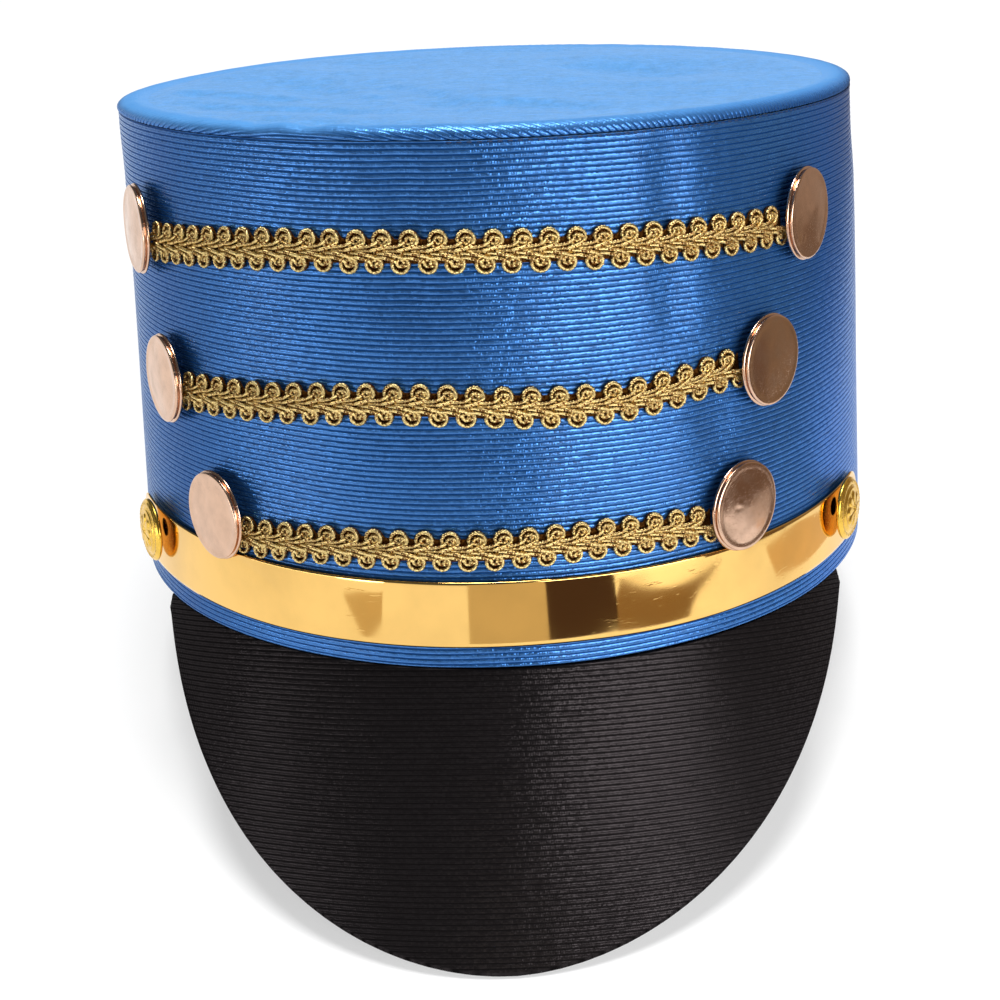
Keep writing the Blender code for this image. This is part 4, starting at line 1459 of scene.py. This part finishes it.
class HAT_OT_stage(bpy.types.Operator):
    """Set up the pale floor, the soft studio lights and the camera at the photograph's angle"""

    bl_idname = "hat.stage"
    bl_label = "Stage"

    def execute(self, context):
        settings = context.scene.hat_stage
        self.add_floor(settings)
        self.add_camera(settings, context.scene)
        self.add_lights()
        for card in CARDS:
            self.add_card(card)
        return {"FINISHED"}

    def add_card(self, card):
        """A card that the camera and the light pass by, and that gloss alone shows."""
        mesh = bpy.data.meshes.new(card.name)
        mesh.from_pydata(card.corners, [], [range(len(card.corners))])
        material, _, shader = new_material(card.name, 1.0)
        shader.inputs["Base Color"].default_value = (0.0, 0.0, 0.0, 1.0)
        shader.inputs["Specular IOR Level"].default_value = 0.0
        shader.inputs["Emission Color"].default_value = opaque(card.colour)
        shader.inputs["Emission Strength"].default_value = 1.0
        mesh.materials.append(material)
        piece = add_object(card.name, mesh)
        piece.visible_camera = False
        piece.visible_diffuse = False
        piece.visible_shadow = False
        piece.visible_transmission = False

    def add_floor(self, settings):
        """A wide pale floor that glows a little, as a lit table does."""
        mesh = bpy.data.meshes.new("floor")
        shape = bmesh.new()
        bmesh.ops.create_circle(shape, cap_ends=True, segments=96, radius=FLOOR_RADIUS)
        shape.to_mesh(mesh)
        shape.free()
        material, tree, shader = new_material("pale_floor", 0.65)
        shader.inputs["Emission Color"].default_value = (1.0, 1.0, 1.0, 1.0)
        shader.inputs["Emission Strength"].default_value = settings.floor_glow
        grain = add_node(tree, "ShaderNodeTexNoise",
                         {"Vector": add_node(tree, "ShaderNodeTexCoord").outputs["Object"],
                          "Scale": 300.0, "Detail": 4.0})
        tree.links.new(mix_colours(tree, grain.outputs["Fac"], opaque(settings.floor_colour, 0.98),
                                   opaque(settings.floor_colour)), shader.inputs["Base Color"])
        mesh.materials.append(material)
        floor = add_object("floor", mesh)

    def add_camera(self, settings, scene):
        """The camera where the photograph was taken, round the level hat."""
        back = seen_from(settings.azimuth, settings.elevation)
        across = Vector((0.0, 0.0, 1.0)).cross(back).normalized()
        upward = back.cross(across)
        rolled = Matrix((across, upward, back)).transposed() @ Matrix.Rotation(settings.roll, 3, "Z")
        data = bpy.data.cameras.new("camera")
        data.lens = settings.lens
        data.sensor_width = 36.0
        data.shift_x, data.shift_y = settings.shift_x, settings.shift_y
        data.clip_start = 0.01
        camera = add_object("camera", data)
        place = Vector((0.0, 0.0, settings.aim_height)) + back * settings.distance
        camera.matrix_world = REST @ Matrix.Translation(place) @ rolled.to_4x4()
        scene.camera = camera

    def add_lights(self):
        """Three softboxes round the hat, a soft light overhead and a dim pale surround."""
        for lamp in SOFTBOXES:
            data = bpy.data.lights.new(lamp.name, "AREA")
            data.shape = "RECTANGLE"
            data.size, data.size_y = lamp.width, lamp.height
            data.energy = lamp.power
            self.place_light(data, lamp.azimuth, lamp.elevation, lamp.distance)
        data = bpy.data.lights.new("light_above", "SUN")
        data.energy = OVERHEAD_POWER
        data.angle = OVERHEAD_SPREAD
        self.place_light(data, *OVERHEAD_PLACE)
        world = bpy.data.worlds.new("studio")
        world.use_nodes = True
        backdrop = world.node_tree.nodes["Background"]
        backdrop.inputs["Color"].default_value = opaque(SURROUND_COLOUR)
        backdrop.inputs["Strength"].default_value = SURROUND_POWER
        bpy.context.scene.world = world
        bpy.context.scene.view_settings.view_transform = "Standard"

    def place_light(self, data, azimuth, elevation, distance):
        """Stand a light off the hat, turned towards it, by its azimuth and elevation in degrees."""
        away = seen_from(radians(azimuth), radians(elevation))
        light = add_object(data.name, data)
        light.location = Vector(LIGHT_AIM) + away * distance
        light.rotation_euler = away.to_track_quat("Z", "Y").to_euler()


class HAT_PT_panel(bpy.types.Panel):
    """Lists the steps that make the hat, in order"""

    bl_idname = "HAT_PT_panel"
    bl_label = "Drum Major Hat"
    bl_space_type = "VIEW_3D"
    bl_region_type = "UI"
    bl_category = "Hat"

    def draw(self, context):
        for step in STEPS:
            self.layout.operator(step.bl_idname)


SETTINGS = {
    "hat_cloth": HatClothSettings,
    "hat_braid": HatBraidSettings,
    "hat_metal": HatMetalSettings,
    "hat_stage": HatStageSettings,
}
STEPS = (
    HAT_OT_stage,
    HAT_OT_crown_cloth,
    HAT_OT_top_cloth,
    HAT_OT_seam,
    HAT_OT_lining,
    HAT_OT_peak,
    HAT_OT_strap,
    HAT_OT_braids,
    HAT_OT_braid_buttons,
    HAT_OT_side_buttons,
)


def register():
    """Register the settings, the steps and the panel."""
    for name, group in SETTINGS.items():
        bpy.utils.register_class(group)
        setattr(bpy.types.Scene, name, PointerProperty(type=group))
    for step in STEPS:
        bpy.utils.register_class(step)
    bpy.utils.register_class(HAT_PT_panel)


def unregister():
    """Take out what register put in."""
    bpy.utils.unregister_class(HAT_PT_panel)
    for step in reversed(STEPS):
        bpy.utils.unregister_class(step)
    for name, group in SETTINGS.items():
        delattr(bpy.types.Scene, name)
        bpy.utils.unregister_class(group)


def main():
    """Make the whole hat on its stage."""
    register()
    for step in STEPS:
        area, action = step.bl_idname.split(".")
        getattr(getattr(bpy.ops, area), action)()


if __name__ == "__main__":
    main()
